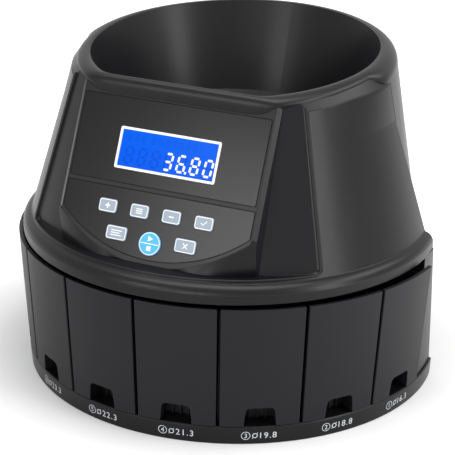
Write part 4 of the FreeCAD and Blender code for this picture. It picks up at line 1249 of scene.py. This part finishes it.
@dataclass
class Studio:
    """White sweep, soft boxes and the camera at the photograph's angle.

    A soft box is given as its name, place, aim, size and power, in metres and watts.
    """

    eye: Triple = (493.0, -1071.9, 573.5)
    azimuth: float = 24.96
    fall: float = 21.626
    roll: float = 1.085
    lens: float = 124.4
    sensor: float = 36.0
    floor_half: float = 3.0
    floor_colour: float = 0.8
    speck: float = 60 * MM
    near_lift: float = 0.04
    far_lift: float = 0.62
    beside: Pair = (0.19, 0.36)
    front_depth: float = 0.3
    far: Pair = (0.5, 1.0)
    edge: Pair = (0.9, 1.7)
    edge_lift: float = 0.4
    ambient: float = 0.32
    boxes: tuple[tuple[str, Triple, Triple, Pair, float], ...] = (
        ("overhead", (0.0, -0.15, 1.5), (0.0, -0.15, 0.1), (1.4, 0.8), 18.0),
        ("right_side", (1.22, -0.32, 0.45), (0.1, -0.1, 0.2), (0.26, 0.8), 6.5),
        ("right_high", (1.087, 0.3, 1.08), (0.1, -0.05, 0.25), (1.2, 0.55), 10.5),
        ("left_front", (-0.474, -1.423, 0.614), (0.0, -0.12, 0.19), (0.36, 0.56), 5.4),
        ("low_front", (0.176, -1.54, 0.34), (0.09, -0.1, 0.19), (0.34, 0.36), 4.0))

    def floor(self) -> None:
        """Flat pale floor that keeps the object's shadow.

        What the eye sees of it is lifted towards white: beside and behind the object, and all round far
        away, but little close in front, where the shadow lies.
        """
        mesh = bpy.data.meshes.new("floor")
        corners = np.array([(-1, -1, 0), (1, -1, 0), (1, 1, 0), (-1, 1, 0)], float) * self.floor_half
        mesh.from_pydata(corners, [], [(0, 1, 2, 3)])
        material = bpy.data.materials.new("floor_white")
        graph = Graph(material)
        shades = [(self.floor_colour * share,) * 3 for share in (0.995, 1.0)]
        speck = graph.mix(graph.noise(self.speck, 1.0), *shades)
        matt = graph.node("ShaderNodeBsdfDiffuse", {}, {"Color": speck})
        away = graph.node("ShaderNodeVectorMath", {"operation": "LENGTH"}, {0: graph.place()}, out="Value")
        depth = graph.node("ShaderNodeSeparateXYZ", {}, {"Vector": graph.place()}, out="Y")
        share = away.ramp(*self.beside) * depth.ramp(-self.front_depth, 0.0)
        share = 1.0 - (1.0 - share) * (1.0 - away.ramp(*self.far))
        rise = self.near_lift + share * (self.far_lift - self.near_lift)
        rise = rise + away.ramp(*self.edge) * self.edge_lift
        lift = graph.node("ShaderNodeEmission", {}, {"Strength": self.seen(graph) * rise})
        graph.surface(graph.node("ShaderNodeAddShader", {}, {0: matt, 1: lift}))
        mesh.materials.append(material)
        made = placed("floor", mesh)

    def world(self) -> None:
        """White surroundings to the eye and in reflections, softer as light."""
        world = bpy.data.worlds.new("studio")
        bpy.context.scene.world = world
        graph = Graph(world)
        strength = self.ambient + self.seen(graph) * (1.0 - self.ambient)
        white = (1.0, 1.0, 1.0, 1.0)
        graph.surface(graph.node("ShaderNodeBackground", {}, {"Color": white, "Strength": strength}))

    @staticmethod
    def seen(graph: Graph) -> Socket:
        """One for rays that show the surroundings, straight or mirrored, and zero for the rest."""
        rays = [graph.node("ShaderNodeLightPath", out=name)
                for name in ("Is Camera Ray", "Is Glossy Ray", "Is Transmission Ray")]
        return (rays[0] + rays[1] + rays[2]).clamped()

    def lamps(self) -> None:
        """Box overhead, a tall box at the right with one above it, and two boxes in front."""
        for name, place, aim, size, power in self.boxes:
            data = bpy.data.lights.new(name, "AREA")
            data.shape = "RECTANGLE"
            data.size, data.size_y = size
            data.energy = power
            made = placed(name, data)
            made.location = place
            made.visible_camera = False
            made.rotation_euler = (Vector(aim) - Vector(place)).to_track_quat("-Z", "Y").to_euler()

    def camera(self) -> None:
        """Camera from the fitted eye, direction and roll."""
        data = bpy.data.cameras.new("eye")
        data.sensor_fit = "HORIZONTAL"
        data.sensor_width = self.sensor
        data.lens = self.lens
        a, e, r = (math.radians(angle) for angle in (self.azimuth, self.fall, self.roll))
        ahead = np.array([-math.sin(a) * math.cos(e), math.cos(a) * math.cos(e), -math.sin(e)])
        right = np.cross(ahead, (0.0, 0.0, 1.0))
        right = right / np.linalg.norm(right)
        up = np.cross(right, ahead)
        across = math.cos(r) * right + math.sin(r) * up
        upward = math.cos(r) * up - math.sin(r) * right
        turn = Matrix((across, upward, -ahead)).transposed().to_4x4()
        made = placed("eye", data)
        made.matrix_world = Matrix.Translation(Vector(self.eye) * MM) @ turn
        bpy.context.scene.camera = made

    def build(self) -> None:
        """Set up floor, world, lamps, camera and plain colour handling."""
        bpy.context.scene.view_settings.view_transform = "Standard"
        self.floor()
        self.world()
        self.lamps()
        self.camera()


def main() -> None:
    """Load the frame, finish its solids, add the prints, the trim and the studio."""
    logging.basicConfig(level=logging.INFO, format="%(message)s")
    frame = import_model()
    Housing().dress(frame["nodes"])
    print_ink = Ink("print_white", (0.86, 0.87, 0.88)).material()
    label_ink = Ink("label_grey", (0.62, 0.64, 0.67)).material()
    console = Console()
    lit = Backlight("figures_lit", (0.95, 0.98, 1.0))
    faint = Backlight("figures_faint", (0.0, 0.075, 0.66), end=(0.0, 0.088, 0.7))
    prints = console.display(lit, faint) + console.legends(print_ink)
    prints += BaseBand().labels(label_ink) + MainsSwitch().marks(print_ink)
    trim = ShellTrim().pieces(frame["nodes"]["front_shell"].data.materials[0])
    slotted = [(*piece, "display_white") for piece in prints]
    slotted += [(*piece, "housing_black") for piece in trim]
    for piece, body, slot in slotted:
        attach(piece, body)
        LOG.info("added %s on %s", piece.name, body)
    Studio().build()


if __name__ == "__main__":
    main()
